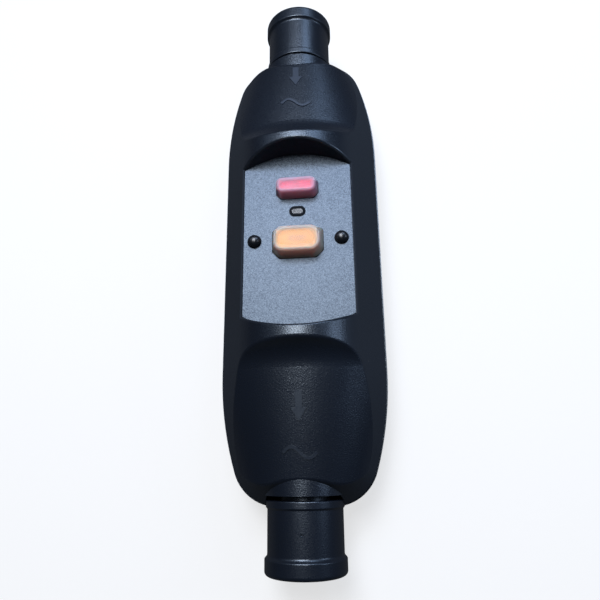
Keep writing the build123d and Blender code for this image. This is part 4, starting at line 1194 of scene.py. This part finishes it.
@dataclass
class Casing(SubAssembly):
    """Both shells, the gasket in their seam, and the raised signs on the scoops."""

    # Lit and shaded copies of one sign plastic: painted light at the line end, painted shade at the load end.
    SIGN_FINISH = {End.LINE: "relief_satin", End.LOAD: "relief_dim"}

    shaft: float = 1.15
    head: float = 2.5
    head_length: float = 4.2
    proud: float = 0.3
    arrows: tuple[tuple[End, float, float], ...] = ((End.LINE, 75.2, 66.2), (End.LOAD, -50.2, -59.8))
    wave_places: tuple[tuple[End, float], ...] = ((End.LINE, 57.6), (End.LOAD, -69.2))
    wave_reach: float = 5.4
    wave_height: float = 1.7
    wave_width: float = 0.95
    wave_steps: int = 28
    rim_share: float = 0.6
    rim_inset: float = 0.16
    sunk: float = 0.15
    longest_edge: float = 1.2
    gasket_weld: float = 0.002
    gasket_sharp: float = 50.0
    gasket_round: float = 0.18

    def build(self) -> None:
        """Dresses the shells and makes the gasket and the signs."""
        self.shop.dress("shell_plastic", "front_shell", "rear_shell")
        self.build_gasket()
        for end, tail, tip in self.arrows:
            self.lay("arrow", end, self.arrow_outline(tail, tip))
        for end, y in self.wave_places:
            self.lay("wave", end, self.wave_outline(y))

    def build_gasket(self) -> None:
        """Makes the gasket as a softened copy of its two strips."""
        form = form_of(self.shop.nodes["shell_gasket"].data)
        bmesh.ops.remove_doubles(form, verts=form.verts, dist=self.gasket_weld)
        least = math.radians(self.gasket_sharp)
        sharp = [edge for edge in form.edges if edge.is_manifold and edge.calc_face_angle(0.0) > least]
        bmesh.ops.bevel(form, geom=sharp, offset=self.gasket_round, segments=2, affect="EDGES", clamp_overlap=True)
        gasket = self.shop.mesh_object("seam_gasket", form)
        self.shop.fit(gasket, Body.HOUSING, "black_rubber", "shell_gasket", "shell_gasket")

    def arrow_outline(self, tail: float, tip: float) -> list[Flat]:
        """Outline of an arrow along Y.

        Args:
            tail: Where its shaft starts.
            tip: Where it points.

        Returns:
            The outline's corners.
        """
        neck = tip + math.copysign(self.head_length, tail - tip)
        right = [(self.shaft, tail), (self.shaft, neck), (self.head, neck)]
        return [*right, (0.0, tip), *[(-x, y) for x, y in reversed(right)]]

    def wave_outline(self, y: float) -> list[Flat]:
        """Outline of one period of a wave, the sign for alternating current.

        Args:
            y: Its place along the device.

        Returns:
            The outline's corners.
        """
        upper, lower = [], []
        for step in range(self.wave_steps + 1):
            share = step / self.wave_steps
            x = self.wave_reach * (2 * share - 1)
            height = self.wave_height * math.sin(math.tau * share)
            slope = self.wave_height * math.pi / self.wave_reach * math.cos(math.tau * share)
            across = Vector((-slope, 1.0)).normalized() * self.wave_width / 2
            upper.append((x + across.x, y + height + across.y))
            lower.append((x - across.x, y + height - across.y))
        return [*upper, *reversed(lower)]

    def lay(self, sign: str, end: End, outline: list[Flat]) -> None:
        """Makes a raised sign with a soft rim and lays it on the front shell, the line end's painted light and the load
        end's painted darker as shade.

        Args:
            sign: What the sign shows.
            end: The end that it is on.
            outline: Its outline in millimetres.
        """
        name, finish = f"{end.name.lower()}_{sign}", self.SIGN_FINISH[end]
        form = bmesh.new()
        face = form.faces.new([form.verts.new((x, y, self.rim_share * self.proud)) for x, y in outline])
        rim = list(form.edges)
        bmesh.ops.inset_region(form, faces=[face], thickness=self.rim_inset)
        for corner in face.verts:
            corner.co.z = self.proud
        low = bmesh.ops.extrude_edge_only(form, edges=rim)["geom"]
        for corner in [part for part in low if isinstance(part, bmesh.types.BMVert)]:
            corner.co.z = -self.sunk
        bmesh.ops.contextual_create(form, geom=[part for part in low if isinstance(part, bmesh.types.BMEdge)])
        bmesh.ops.triangulate(form, faces=form.faces)
        long = [edge for edge in form.edges if edge.calc_length() > self.longest_edge]
        bmesh.ops.subdivide_edges(form, edges=long, cuts=3)
        bmesh.ops.triangulate(form, faces=form.faces)
        flat = self.shop.mesh_object(name, form)
        ground, paint = self.shop.nodes["front_shell"], self.shop.finishes[finish]
        laid = self.patterns.laid_relief.make(name, flat, Ground=ground, Finish=paint)
        self.shop.fit(laid, Body.HOUSING, finish, "front_shell")


@dataclass
class FacePlate(SubAssembly):
    """Painted plate with its studs, dark rings of painted shade round their feet, and the status window."""

    studs: tuple[Flat, ...] = ((-15.4, 2.8), (15.4, 2.8))
    stud_radius: float = 2.25
    stud_side: float = 0.8
    dome: float = 1.53
    shank: float = 1.15
    shank_low: float = 30.4
    shank_edge: float = 0.15
    stud_edge: float = 0.12
    dome_steps: int = 13
    dome_step: float = 7.0
    stud_sides: int = 48
    shade_ring_width: float = 0.5
    shade_ring_top: float = 33.6
    shade_ring_reach: float = 0.05
    window_y: float = 13.75
    rim_low: float = 33.25
    rim_top: float = 33.66
    outer: Flat = (5.9, 3.9)
    inner: Flat = (3.9, 1.9)
    outer_round: tuple[Flat, ...] = ((0.0, 0.12), (0.04, 0.04), (0.12, 0.0))
    inner_round: tuple[Flat, ...] = ((-0.14, 0.0), (-0.04, 0.05), (0.0, 0.14))

    def build(self) -> None:
        """Dresses the plate and the window, and makes the studs, the dark rings of painted shade round their feet and
        the window's rim.
        """
        self.shop.dress("plate_paint", "face_plate")
        self.shop.dress("window_clear", "light_pipe")
        self.build_studs()
        self.build_shade_rings()
        self.build_rim()

    def stud_profile(self) -> list[Flat]:
        """Section of a stud: shank, straight side with a soft foot, and a dome.

        Returns:
            Radii and heights, from the shank's end to near the dome's top.
        """
        reach, equator = self.stud_radius, PLATE_TOP + self.stud_side
        profile = [(self.shank - self.shank_edge, self.shank_low), (self.shank, self.shank_low + self.shank_edge)]
        profile += [(self.shank, PLATE_TOP), (reach - self.stud_edge, PLATE_TOP), (reach, PLATE_TOP + self.stud_edge)]
        for step in range(self.dome_steps):
            lift = math.radians(self.dome_step * step)
            profile.append((reach * math.cos(lift), equator + self.dome * math.sin(lift)))
        return profile

    def build_studs(self) -> None:
        """Makes both domed studs."""
        turns = [math.tau * step / self.stud_sides for step in range(self.stud_sides)]
        pieces = []
        for number, (x, y) in enumerate(self.studs):
            rings = [
                [(x + reach * math.cos(turn), y + reach * math.sin(turn), z) for turn in turns]
                for reach, z in self.stud_profile()
            ]
            pieces.append(self.shop.stack(f"stud_{number}", rings, capped=True))
        studs = self.shop.merge("domed_studs", pieces)
        self.shop.fit(studs, Body.HOUSING, "stud_black", "plate_studs", "plate_studs")

    def build_shade_rings(self) -> None:
        """Makes thin dark rings round the studs' feet: painted shade where the studs' shadow and the gap round them
        fall, which the studs also reflect.
        """
        tree = FormTree("stud_washers")
        nodes = tree.nodes
        path = nodes.add("GeometryNodeCurvePrimitiveCircle", Resolution=40, Radius=tree.given("Radius", "Float"))
        bead = nodes.add("GeometryNodeCurvePrimitiveCircle", Resolution=12, Radius=tree.given("Bead", "Float"))
        ring = nodes.add("GeometryNodeCurveToMesh", Curve=path.outputs[0], Profile_Curve=bead.outputs[0])
        tree.close_on_places(ring.outputs[0])
        # Painted shade: dark rings stand round the studs' feet where their shadow and the gap round them fall.
        half = self.shade_ring_width / 2
        shade_rings = tree.make(
            "stud_washers", [(x, y, self.shade_ring_top - half) for x, y in self.studs], Bead=half * MM,
            Radius=(self.stud_radius + self.shade_ring_reach) * MM, Finish=self.shop.finishes["bezel_black"],
        )
        self.shop.fit(shade_rings, Body.HOUSING, "bezel_black", "plate_studs")

    def build_rim(self) -> None:
        """Makes the black rim round the status window."""
        levels = [
            (self.outer, 0.0, self.rim_low),
            *[(self.outer, inset, self.rim_top - drop) for inset, drop in self.outer_round],
            *[(self.inner, inset, self.rim_top - drop) for inset, drop in self.inner_round],
            (self.inner, 0.0, self.rim_low),
        ]
        rings = [at_height(slot_outline(size, inset), self.window_y, z) for size, inset, z in levels]
        rim = self.shop.stack("window_rim", rings, capped=False)
        self.shop.fit(rim, Body.HOUSING, "bezel_black", "plate_studs")


@dataclass
class PushButton(SubAssembly):
    """One coloured button with its silicone boot, the mark on its top and its return spring."""

    CUT_SHRINK = 2 - math.sqrt(2)

    name: str = "reset"
    body: Body = Body.RESET
    y: float = 1.4
    width: float = 18.0
    length: float = 11.0
    corner: float = 1.6
    cut: float = 2.6
    height: float = 5.7
    taper: float = 10.0
    wall: float = 0.8
    stroke: float = 2.2
    spring_radius: float = 3.5
    wire: float = 0.6
    turns: float = 4.0
    spring_foot: float = 21.6
    spring_top: float = 27.8
    finish: str = "reset_orange"
    mark: Flat = (5.4, 1.5)
    mark_band: float = 0.45
    mark_gap: float = 0.12
    mark_rise: float = 0.08
    flange_low: float = 31.5
    flange_top: float = 32.25
    flange_reach: float = 1.3
    foot: tuple[float, ...] = (-0.2, 0.1)
    first_level: float = 0.6
    top_round: float = 0.85
    top_turns: tuple[int, ...] = (25, 50, 72, 90)
    crown_sag: tuple[Flat, ...] = ((0.25, -0.01), (0.8, -0.04), (1.6, -0.07))
    roof_round: Flat = (0.5, 0.15)
    least_cut: float = 0.25
    corner_growth: float = 1.3
    cut_round: Flat = (1.35, 0.25)
    room_share: float = 0.6
    roof_milk: Flat = (0.5, -0.32)
    side_milk: Flat = (0.7, 0.02)

    def build(self) -> None:
        """Dresses the button and makes its boot, mark and spring."""
        self.shop.dress(self.finish, f"{self.name}_button")
        self.build_boot()
        self.build_mark()
        self.build_spring()

    def rise(self, height: float, whole: float) -> float:
        """Share of a height over the plate, within 0 to 1."""
        return min(max((height - PLATE_TOP) / whole, 0.0), 1.0)

    def outline(self, draw_in: float, height: float) -> list[Flat]:
        """Plan outline of the boot: round upper corners, cut lower corners, both rounder towards its top.

        Args:
            draw_in: How far it is drawn in from the boot's foot.
            height: Its height over the device's back.

        Returns:
            The outline.
        """
        rise = self.rise(height, self.height)
        x, y = self.width / 2 - draw_in, self.length / 2 - draw_in
        cut = max(self.cut - self.CUT_SHRINK * draw_in, self.least_cut * y)
        most = self.room_share * (2 * y - cut)
        high = min((self.corner + max(-draw_in, 0.0)) * (1.0 + self.corner_growth * rise), most)
        soft = min((self.cut_round[0] + self.cut_round[1] * rise) * cut, most)
        corners = [(x, y), (-x, y), (-x, -y + cut), (-x + cut, -y), (x - cut, -y), (x, -y + cut)]
        return rounded_outline(corners, [high, high, soft, soft, soft, soft])

    def milk(self, inside_crown: float, height: float) -> float:
        """How milky the boot looks: clear on its roof, whitest at the roof's edge, tinted down its sides, painted dark
        below as shade.

        Args:
            inside_crown: Distance within the edge of the flat roof, below zero outside it.
            height: Height over the device's back.

        Returns:
            0 for clear, to 1 for milky, and SHADED for the flange under the plate, which is painted dark as shade.
        """
        # Painted shade: the flange under the plate is marked to be painted dark.
        if height < PLATE_TOP + self.foot[0] / 2:
            return SHADED
        if inside_crown > 0.0:
            return max(0.0, self.roof_milk[0] + self.roof_milk[1] * inside_crown)
        return self.side_milk[0] + self.side_milk[1] * self.rise(height, self.height - self.top_round)

    def build_boot(self) -> None:
        """Makes the boot as one closed skin, outside and inside."""
        lean = math.tan(math.radians(self.taper))
        top = PLATE_TOP + self.height
        shoulder = self.height - self.top_round
        outside = [(-self.flange_reach, self.flange_low), (-self.flange_reach, self.flange_top), (0.0, self.flange_top)]
        outside += [(0.0, PLATE_TOP + height) for height in self.foot]
        outside += [(height * lean, PLATE_TOP + height) for height in (self.first_level, shoulder / 2, shoulder)]
        for turn in self.top_turns:
            angle = math.radians(turn)
            reach = shoulder * lean + self.top_round * (1 - math.cos(angle))
            outside.append((reach, top - self.top_round * (1 - math.sin(angle))))
        crown = outside[-1][0]
        outside += [(crown + inset, top + sag) for inset, sag in self.crown_sag]
        roof = top - self.wall
        wide, narrow = self.roof_round
        bend = (roof - wide - PLATE_TOP) * lean + self.wall
        inside = [(self.wall, self.flange_low), (self.wall, PLATE_TOP), (bend, roof - wide)]
        inside += [(bend + narrow, roof - narrow), (bend + wide, roof)]
        levels = [*reversed(outside), *inside]
        rings = [at_height(self.outline(inset, z), self.y, z) for inset, z in levels]
        boot = self.shop.stack(f"{self.name}_silicone", rings, capped=True)
        milk = [self.milk(inset - crown, z) for inset, z in levels]
        spread = boot.data.attributes.new(MILK, "FLOAT", "POINT")
        spread.data.foreach_set("value", [share for share in milk for _ in rings[0]])
        self.shop.fit(boot, Body.HOUSING, f"{self.name}_silicone", f"{self.name}_boot", f"{self.name}_boot")
        thick = top - self.flange_low
        self.flatten(boot, self.flange_low, (thick - self.stroke) / thick)

    def build_mark(self) -> None:
        """Makes the plain mark on the button's top: a ring on the upper one, a bar on the lower one."""
        low = PLATE_TOP + self.height - self.wall - self.mark_gap
        high = low + self.mark_rise
        outer, inner = slot_outline(self.mark, 0.0), slot_outline(self.mark, self.mark_band)
        turns = ((outer, low), (outer, high), (inner, high), (inner, low))
        rings = [at_height(outline, self.y, z) for outline, z in turns]
        mark = self.shop.stack(f"{self.name}_mark", rings, capped=False)
        self.shop.fit(mark, self.body, f"{self.name}_sign", f"{self.name}_button")

    def build_spring(self) -> None:
        """Makes the return spring."""
        foot = self.spring_foot + self.wire / 2
        rise = self.spring_top - self.spring_foot - self.wire
        spring = self.patterns.wound_wire.make(
            f"{self.name}_return_spring", [(0.0, self.y, foot)], Radius=self.spring_radius * MM, Steps=40,
            Turns=self.turns, Height=rise * MM, Sides=10, Wire_Radius=self.wire * MM / 2,
            Finish=self.shop.finishes["spring_steel"],
        )
        node = f"{self.name}_spring"
        self.shop.fit(spring, Body.HOUSING, "spring_steel", node, node)
        long = self.spring_top - self.spring_foot
        self.flatten(spring, self.spring_foot, (long - self.stroke) / long)

    def flatten(self, piece: bpy.types.Object, anchor: float, keep: float) -> None:
        """Gives a piece its own copy of its mesh.

        Args:
            piece: The piece.
            anchor: Not used.
            keep: Not used.
        """
        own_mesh(piece)


@dataclass
class CordGland(SubAssembly):
    """Collar, ribbed grommet and clamp bar of one end."""

    end: End
    axis_z: float = 19.0
    start: float = 88.4
    mouth: float = 104.8
    radius: float = 8.55
    bore: float = 4.75
    groove: float = 5.35
    ribs: int = 6
    sides: int = 64
    start_edge: Flat = (0.3, 0.2)
    mouth_round: tuple[Flat, ...] = ((-1.0, 0.0), (-0.5, -0.12), (-0.15, -0.45), (0.0, -0.95))
    bore_round: tuple[Flat, ...] = ((0.0, 0.9), (-0.15, 0.4), (-0.5, 0.0))
    rib_margin: float = 0.7
    groove_in: Flat = (0.3, 0.7)
    groove_out: Flat = (0.5, 0.1)

    def build(self) -> None:
        """Dresses the collar and the clamp, and makes the grommet."""
        name = self.end.name.lower()
        self.shop.dress("collar_plastic", f"{name}_collar")
        self.shop.dress("nylon_moulding", f"{name}_cord_clamp")
        side = self.end.value
        profile = [(side * y, r) for y, r in self.profile()]
        grommet = self.shop.lathe(f"{name}_seal", profile, self.axis_z, self.sides)
        self.shop.fit(grommet, Body.HOUSING, "black_rubber", f"{name}_grommet", f"{name}_grommet")

    def profile(self) -> list[Flat]:
        """Section of the grommet: a rounded mouth and sealing ribs in its bore.

        Returns:
            Places along the cord and radii.
        """
        inner, outer = self.start_edge
        section = [(self.start, self.bore + inner), (self.start, self.radius - outer)]
        section += [(self.start + outer, self.radius)]
        section += [(self.mouth + y, self.radius + r) for y, r in self.mouth_round]
        section += [(self.mouth + y, self.bore + r) for y, r in self.bore_round]
        pitch = (self.mouth - self.start - 2 * self.rib_margin) / self.ribs
        for rib in range(self.ribs):
            y = self.mouth - self.rib_margin - rib * pitch
            section += [(y - self.groove_in[0], self.bore), (y - self.groove_in[1], self.groove)]
            section += [(y - pitch + self.groove_out[0], self.groove), (y - pitch + self.groove_out[1], self.bore)]
        return section


@dataclass
class ControlBoard(SubAssembly):
    """Board with its parts and solder joints."""

    board_low: float = 20.0
    joint_radius: float = 0.9
    joint_height: float = 0.55
    joint_tip: float = 0.3
    joint_lift: float = 0.03
    joint_places: tuple[Flat, ...] = (
        (10.0, -10.8), (10.0, -1.7), (13.2, -10.8), (13.2, -1.7), (16.4, -10.8), (16.4, -1.7),
    )

    def build(self) -> None:
        """Dresses the board and its parts, and makes the solder joints."""
        self.shop.dress("board_laminate", "circuit_board")
        self.shop.dress("chip_body", "control_chip")
        self.shop.dress("varistor_lacquer", "varistor")
        self.shop.dress("capacitor_sleeve", "capacitor")
        self.shop.dress("resistor_lacquer", "resistors")
        self.shop.dress("switch_body", "test_switch")
        self.shop.dress("lamp_clear", "status_lamp")
        self.build_joints()

    def build_joints(self) -> None:
        """Makes the solder cones under the resistors' legs."""
        tree = FormTree("solder_joints")
        nodes = tree.nodes
        cone = nodes.add(
            "GeometryNodeMeshCone", Vertices=14, Side_Segments=2, Fill_Segments=1,
            Radius_Top=tree.given("Tip Radius", "Float"), Radius_Bottom=tree.given("Foot Radius", "Float"),
            Depth=tree.given("Height", "Float"),
        )
        hanging = nodes.add("GeometryNodeTransform", Geometry=cone.outputs[0], Rotation=(math.pi, 0, 0))
        tree.close_on_places(hanging.outputs[0])
        places = [(x, y, self.board_low + self.joint_lift) for x, y in self.joint_places]
        joints = tree.make(
            "solder_joints", places, Tip_Radius=self.joint_tip * MM, Foot_Radius=self.joint_radius * MM,
            Height=self.joint_height * MM, Finish=self.shop.finishes["solder"],
        )
        self.shop.fit(joints, Body.HOUSING, "solder", "resistors")


@dataclass
class Transformer(SubAssembly):
    """Ring core with its turns of enamelled wire."""

    place: Point = (0.0, -28.0, 11.3)
    turns: int = 52
    ring_radius: float = 6.3
    depth: float = 3.4
    width: float = 8.2
    bend: float = 0.8
    wire: float = 0.42

    def build(self) -> None:
        """Dresses the core and winds the turns."""
        self.shop.dress("ferrite", "toroid_core")
        winding = self.patterns.ring_winding.make(
            "transformer_turns", [(0.0, 0.0, 0.0)], Turns=self.turns, Ring_Radius=self.ring_radius * MM,
            Depth=self.depth * MM, Width=self.width * MM, Bend=self.bend * MM, Wire_Radius=self.wire * MM / 2,
            Place=tuple(MM * part for part in self.place), Finish=self.shop.finishes["enamelled_wire"],
        )
        self.shop.fit(winding, Body.HOUSING, "enamelled_wire", "toroid_winding", "toroid_winding")


@dataclass
class SwitchMechanism(SubAssembly):
    """Frame, contacts, carrier and holding magnet under the lower button."""

    centre_y: float = 1.4
    coil_low: float = 6.0
    coil_high: float = 10.0
    coil_radius: float = 6.55
    coil_wire: float = 0.44
    coil_layers: int = 7
    layer_step: float = 0.9
    coil_crease: float = 50.0
    spring_x: float = 12.1
    spring_foot: float = 4.0
    spring_top: float = 14.7
    spring_radius: float = 1.05
    spring_wire: float = 0.4
    spring_turns: float = 6.0
    stroke: float = 2.2

    def build(self) -> None:
        """Dresses the mechanism, winds the coil and makes the opening springs."""
        shop = self.shop
        shop.dress("nylon_frame", "mechanism_frame")
        shop.dress("nylon_moulding", "contact_carrier")
        shop.dress("bobbin_nylon", "coil_bobbin")
        shop.dress("soft_iron", "armature", "magnet_yoke")
        shop.dress("contact_strip", "fixed_contacts")
        shop.dress("bridge_strip", "contact_bridges")
        self.build_coil()
        self.build_springs()

    def build_coil(self) -> None:
        """Winds the coil's outer and inner layers."""
        rise = self.coil_high - self.coil_low - self.coil_wire
        turns = rise / self.coil_wire
        layers = []
        lift = self.coil_low + self.coil_wire / 2
        for number in range(self.coil_layers):
            radius = self.coil_radius - number * self.layer_step * self.coil_wire
            layers.append(self.patterns.wound_wire.make(
                f"coil_layer_{number}", [(0.0, self.centre_y, lift)], Radius=radius * MM, Steps=32, Turns=turns,
                Height=rise * MM, Sides=6, Wire_Radius=self.coil_wire * MM / 2,
                Finish=self.shop.finishes["enamelled_wire"],
            ))
        coil = self.shop.merge("magnet_coil", layers, crease=self.coil_crease)
        self.shop.fit(coil, Body.HOUSING, "enamelled_wire", "coil_winding", "coil_winding")

    def build_springs(self) -> None:
        """Makes the two springs that push the carrier up."""
        rise = self.spring_top - self.spring_foot - self.spring_wire
        foot = self.spring_foot + self.spring_wire / 2
        places = [(x, self.centre_y, foot) for x in (-self.spring_x, self.spring_x)]
        springs = self.patterns.wound_wire.make(
            "carrier_springs", places, Radius=self.spring_radius * MM, Steps=32, Turns=self.spring_turns,
            Height=rise * MM, Sides=8, Wire_Radius=self.spring_wire * MM / 2,
            Finish=self.shop.finishes["spring_steel"],
        )
        self.shop.fit(springs, Body.HOUSING, "spring_steel", "opening_springs", "opening_springs")
        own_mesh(springs)


@dataclass
class Wiring(SubAssembly):
    """Terminals, leads and the earth strap."""

    def build(self) -> None:
        """Dresses the conductors."""
        self.shop.dress("terminal_brass", "line_terminals", "load_terminals")
        self.shop.dress("lead_copper", "line_leads", "load_leads")
        self.shop.dress("strap_brass", "earth_strap")


@dataclass
class ScrewThreads(SubAssembly):
    """Screws of one size, with the thread on their shanks."""

    name: str
    places: tuple[Flat, ...]
    low: float
    high: float
    radius: float = 1.35
    pitch: float = 0.9
    crest: float = 0.22

    def build(self) -> None:
        """Dresses the screws and makes their threads."""
        self.shop.dress("zinc_plate", f"{self.name}_screws")
        threads = self.patterns.wound_wire.make(
            f"{self.name}_screw_threads", [(x, y, self.low) for x, y in self.places], Radius=self.radius * MM,
            Steps=20, Turns=(self.high - self.low) / self.pitch, Height=(self.high - self.low) * MM, Sides=3,
            Wire_Radius=self.crest * MM, Finish=self.shop.finishes["zinc_plate"],
        )
        self.shop.fit(threads, Body.HOUSING, "zinc_plate", f"{self.name}_screws")


@dataclass(frozen=True)
class Photograph:
    """Camera of the photograph, fitted to the object's outlines."""

    place: Point = (0.018616, -0.072557, 0.209116)
    turn: Point = (0.291, 0.106, -0.012)
    lens: float = 32.62
    sensor: float = 36.0
    nearest: float = 0.01

    def build(self) -> None:
        """Adds the camera and makes it the scene's own."""
        data = bpy.data.cameras.new("photograph")
        data.lens = self.lens
        data.sensor_width = self.sensor
        data.clip_start = self.nearest
        camera = bpy.data.objects.new("photograph", data)
        camera.location = self.place
        camera.rotation_euler = Euler(self.turn, "XYZ")
        bpy.context.scene.collection.objects.link(camera)
        bpy.context.scene.camera = camera


@dataclass(frozen=True)
class Lamp:
    """One soft lamp with a rectangular face."""

    name: str
    place: Point
    size: Flat
    power: float
    color: Color
    aim: Point = (0.0, 0.0, 0.02)

    def build(self) -> None:
        """Hangs the lamp and turns it to its aim."""
        data = bpy.data.lights.new(self.name, "AREA")
        data.shape = "RECTANGLE"
        data.size, data.size_y = self.size
        data.energy = self.power
        data.color = self.color
        lamp = bpy.data.objects.new(self.name, data)
        lamp.location = self.place
        lamp.rotation_euler = (Vector(self.aim) - Vector(self.place)).to_track_quat("-Z", "Y").to_euler()
        bpy.context.scene.collection.objects.link(lamp)


@dataclass(frozen=True)
class Studio:
    """White floor that keeps the shadow, soft lamps and an even sky."""

    floor_reach: float = 3.0
    floor_color: Color = (0.88, 0.88, 0.88)
    floor_unseen: Color = (0.02, 0.02, 0.02)
    speck_scale: float = 400.0
    speck_tone: float = 0.97
    sky: Color = (0.66, 0.80, 1.0)
    sky_strength: float = 0.03
    floor_light: float = 0.68
    mirrored: float = 0.03
    lamps: tuple[Lamp, ...] = (
        Lamp("ceiling_lamp", (-0.06, 0.155, 0.59), (0.20, 0.24), 2.4, (0.94, 0.96, 1.0)),
        Lamp("window_lamp", (-0.05, 0.305, 0.53), (0.34, 0.12), 2.15, (0.72, 0.81, 1.0)),
        Lamp("right_window", (0.24, 0.38, 0.41), (0.20, 0.20), 0.85, (0.54, 0.71, 1.0)),
        Lamp("side_lamp", (0.52, 0.07, 0.32), (0.20, 0.20), 0.7, (0.62, 0.76, 1.0)),
        Lamp("left_lamp", (-0.36, 0.26, 0.38), (0.22, 0.22), 0.15, (0.66, 0.80, 1.0)),
    )

    def build(self) -> None:
        """Adds the floor, the lamps and the world."""
        self.build_floor()
        for lamp in self.lamps:
            lamp.build()
        world = bpy.data.worlds.new("studio")
        bpy.context.scene.world = world
        world.use_nodes = True
        nodes = NodeBuilder(world.node_tree)
        background = world.node_tree.nodes["Background"]
        seen = self.seen_rays(nodes)
        nodes.join(background.inputs["Color"], nodes.mix(seen, rgba(self.sky), rgba(WHITE)))
        nodes.join(background.inputs["Strength"], nodes.level(seen, self.sky_strength, 1.0))
        bpy.context.scene.view_settings.view_transform = "Standard"

    def seen_rays(self, nodes: NodeBuilder) -> bpy.types.NodeSocket:
        """The share of white that a ray is shown: all for the camera and through clear pieces, some in mirrors.

        Args:
            nodes: The tree to add the nodes to.

        Returns:
            The socket with the share.
        """
        light = nodes.add("ShaderNodeLightPath")
        mirrored = nodes.math("MULTIPLY", light.outputs["Is Glossy Ray"], self.mirrored)
        seen = nodes.math("MAXIMUM", light.outputs["Is Camera Ray"], mirrored)
        return nodes.math("MAXIMUM", seen, light.outputs["Is Transmission Ray"])

    def build_floor(self) -> None:
        """Adds the floor under the back."""
        mesh = bpy.data.meshes.new("floor")
        reach = self.floor_reach
        corners = [(-reach, -reach, 0), (reach, -reach, 0), (reach, reach, 0), (-reach, reach, 0)]
        mesh.from_pydata(corners, [], [(0, 1, 2, 3)])
        floor = bpy.data.objects.new("floor", mesh)
        bpy.context.scene.collection.objects.link(floor)
        draft = MaterialDraft("floor_white")
        nodes = draft.nodes
        speck = nodes.noise(self.speck_scale)
        draft.set(Roughness=0.9)
        seen = self.seen_rays(nodes)
        pale = nodes.mix(speck, rgba(scaled(self.floor_color, self.speck_tone)), rgba(self.floor_color))
        draft.set(Base_Color=nodes.mix(seen, rgba(self.floor_unseen), pale))
        white = nodes.add("ShaderNodeEmission", Color=rgba(WHITE), Strength=1.0)
        share = nodes.math("MULTIPLY", seen, self.floor_light)
        both = nodes.add("ShaderNodeMixShader")
        for socket, value in zip(both.inputs, (share, draft.shader.outputs[0], white.outputs[0])):
            nodes.join(socket, value)
        nodes.join(draft.output.inputs["Surface"], both.outputs[0])
        mesh.materials.append(draft.material)


def screw_sets(shop: Workshop, patterns: Patterns) -> list[ScrewThreads]:
    """The screws of the device, set by set.

    Args:
        shop: The workshop.
        patterns: The node trees.

    Returns:
        One sub-assembly for each set.
    """
    shell = tuple((x * side, y) for side in (1, -1) for x, y in ((21.5, 58.0), (23.2, 3.35), (21.5, -58.0)))
    clamp = tuple((x, y) for x in (-10.5, 10.5) for y in (-69.0, 69.0))
    board = tuple((x, y) for x in (-14.5, 14.5) for y in (-18.0, 32.0))
    terminal = tuple((x, side * 49.6) for x in (-8.0, 8.0, 17.0) for side in (1, -1))
    return [
        ScrewThreads(shop, patterns, "shell", shell, low=11.0, high=23.0),
        ScrewThreads(shop, patterns, "clamp", clamp, low=9.6, high=17.5),
        ScrewThreads(shop, patterns, "board", board, low=21.9, high=26.6, radius=0.9, pitch=0.7),
        ScrewThreads(shop, patterns, "terminal", terminal, low=13.8, high=15.8, pitch=0.5),
    ]


def main() -> None:
    """Loads the frame, builds every sub-assembly in order and adds the camera and the studio."""
    logging.basicConfig(level=logging.INFO, format="%(message)s")
    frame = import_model()
    Photograph().build()
    shop = Workshop(frame["nodes"], FinishBook())
    patterns = Patterns()
    parts: list[SubAssembly] = [
        Casing(shop, patterns),
        FacePlate(shop, patterns),
        PushButton(shop, patterns),
        PushButton(
            shop, patterns, name="test", body=Body.TEST, y=22.1, width=15.2, length=6.6, corner=1.0, cut=1.7,
            height=5.2, taper=6.0, wall=0.7, stroke=1.5, spring_radius=2.3, wire=0.45, turns=3.0, spring_foot=24.4,
            finish="test_red", mark=(2.4, 2.4), mark_band=0.55,
        ),
        CordGland(shop, patterns, End.LINE),
        CordGland(shop, patterns, End.LOAD),
        ControlBoard(shop, patterns),
        Transformer(shop, patterns),
        SwitchMechanism(shop, patterns),
        Wiring(shop, patterns),
        *screw_sets(shop, patterns),
    ]
    for part in parts:
        LOG.info("building %s", type(part).__name__)
        part.build()
    Studio().build()


if __name__ == "__main__":
    main()
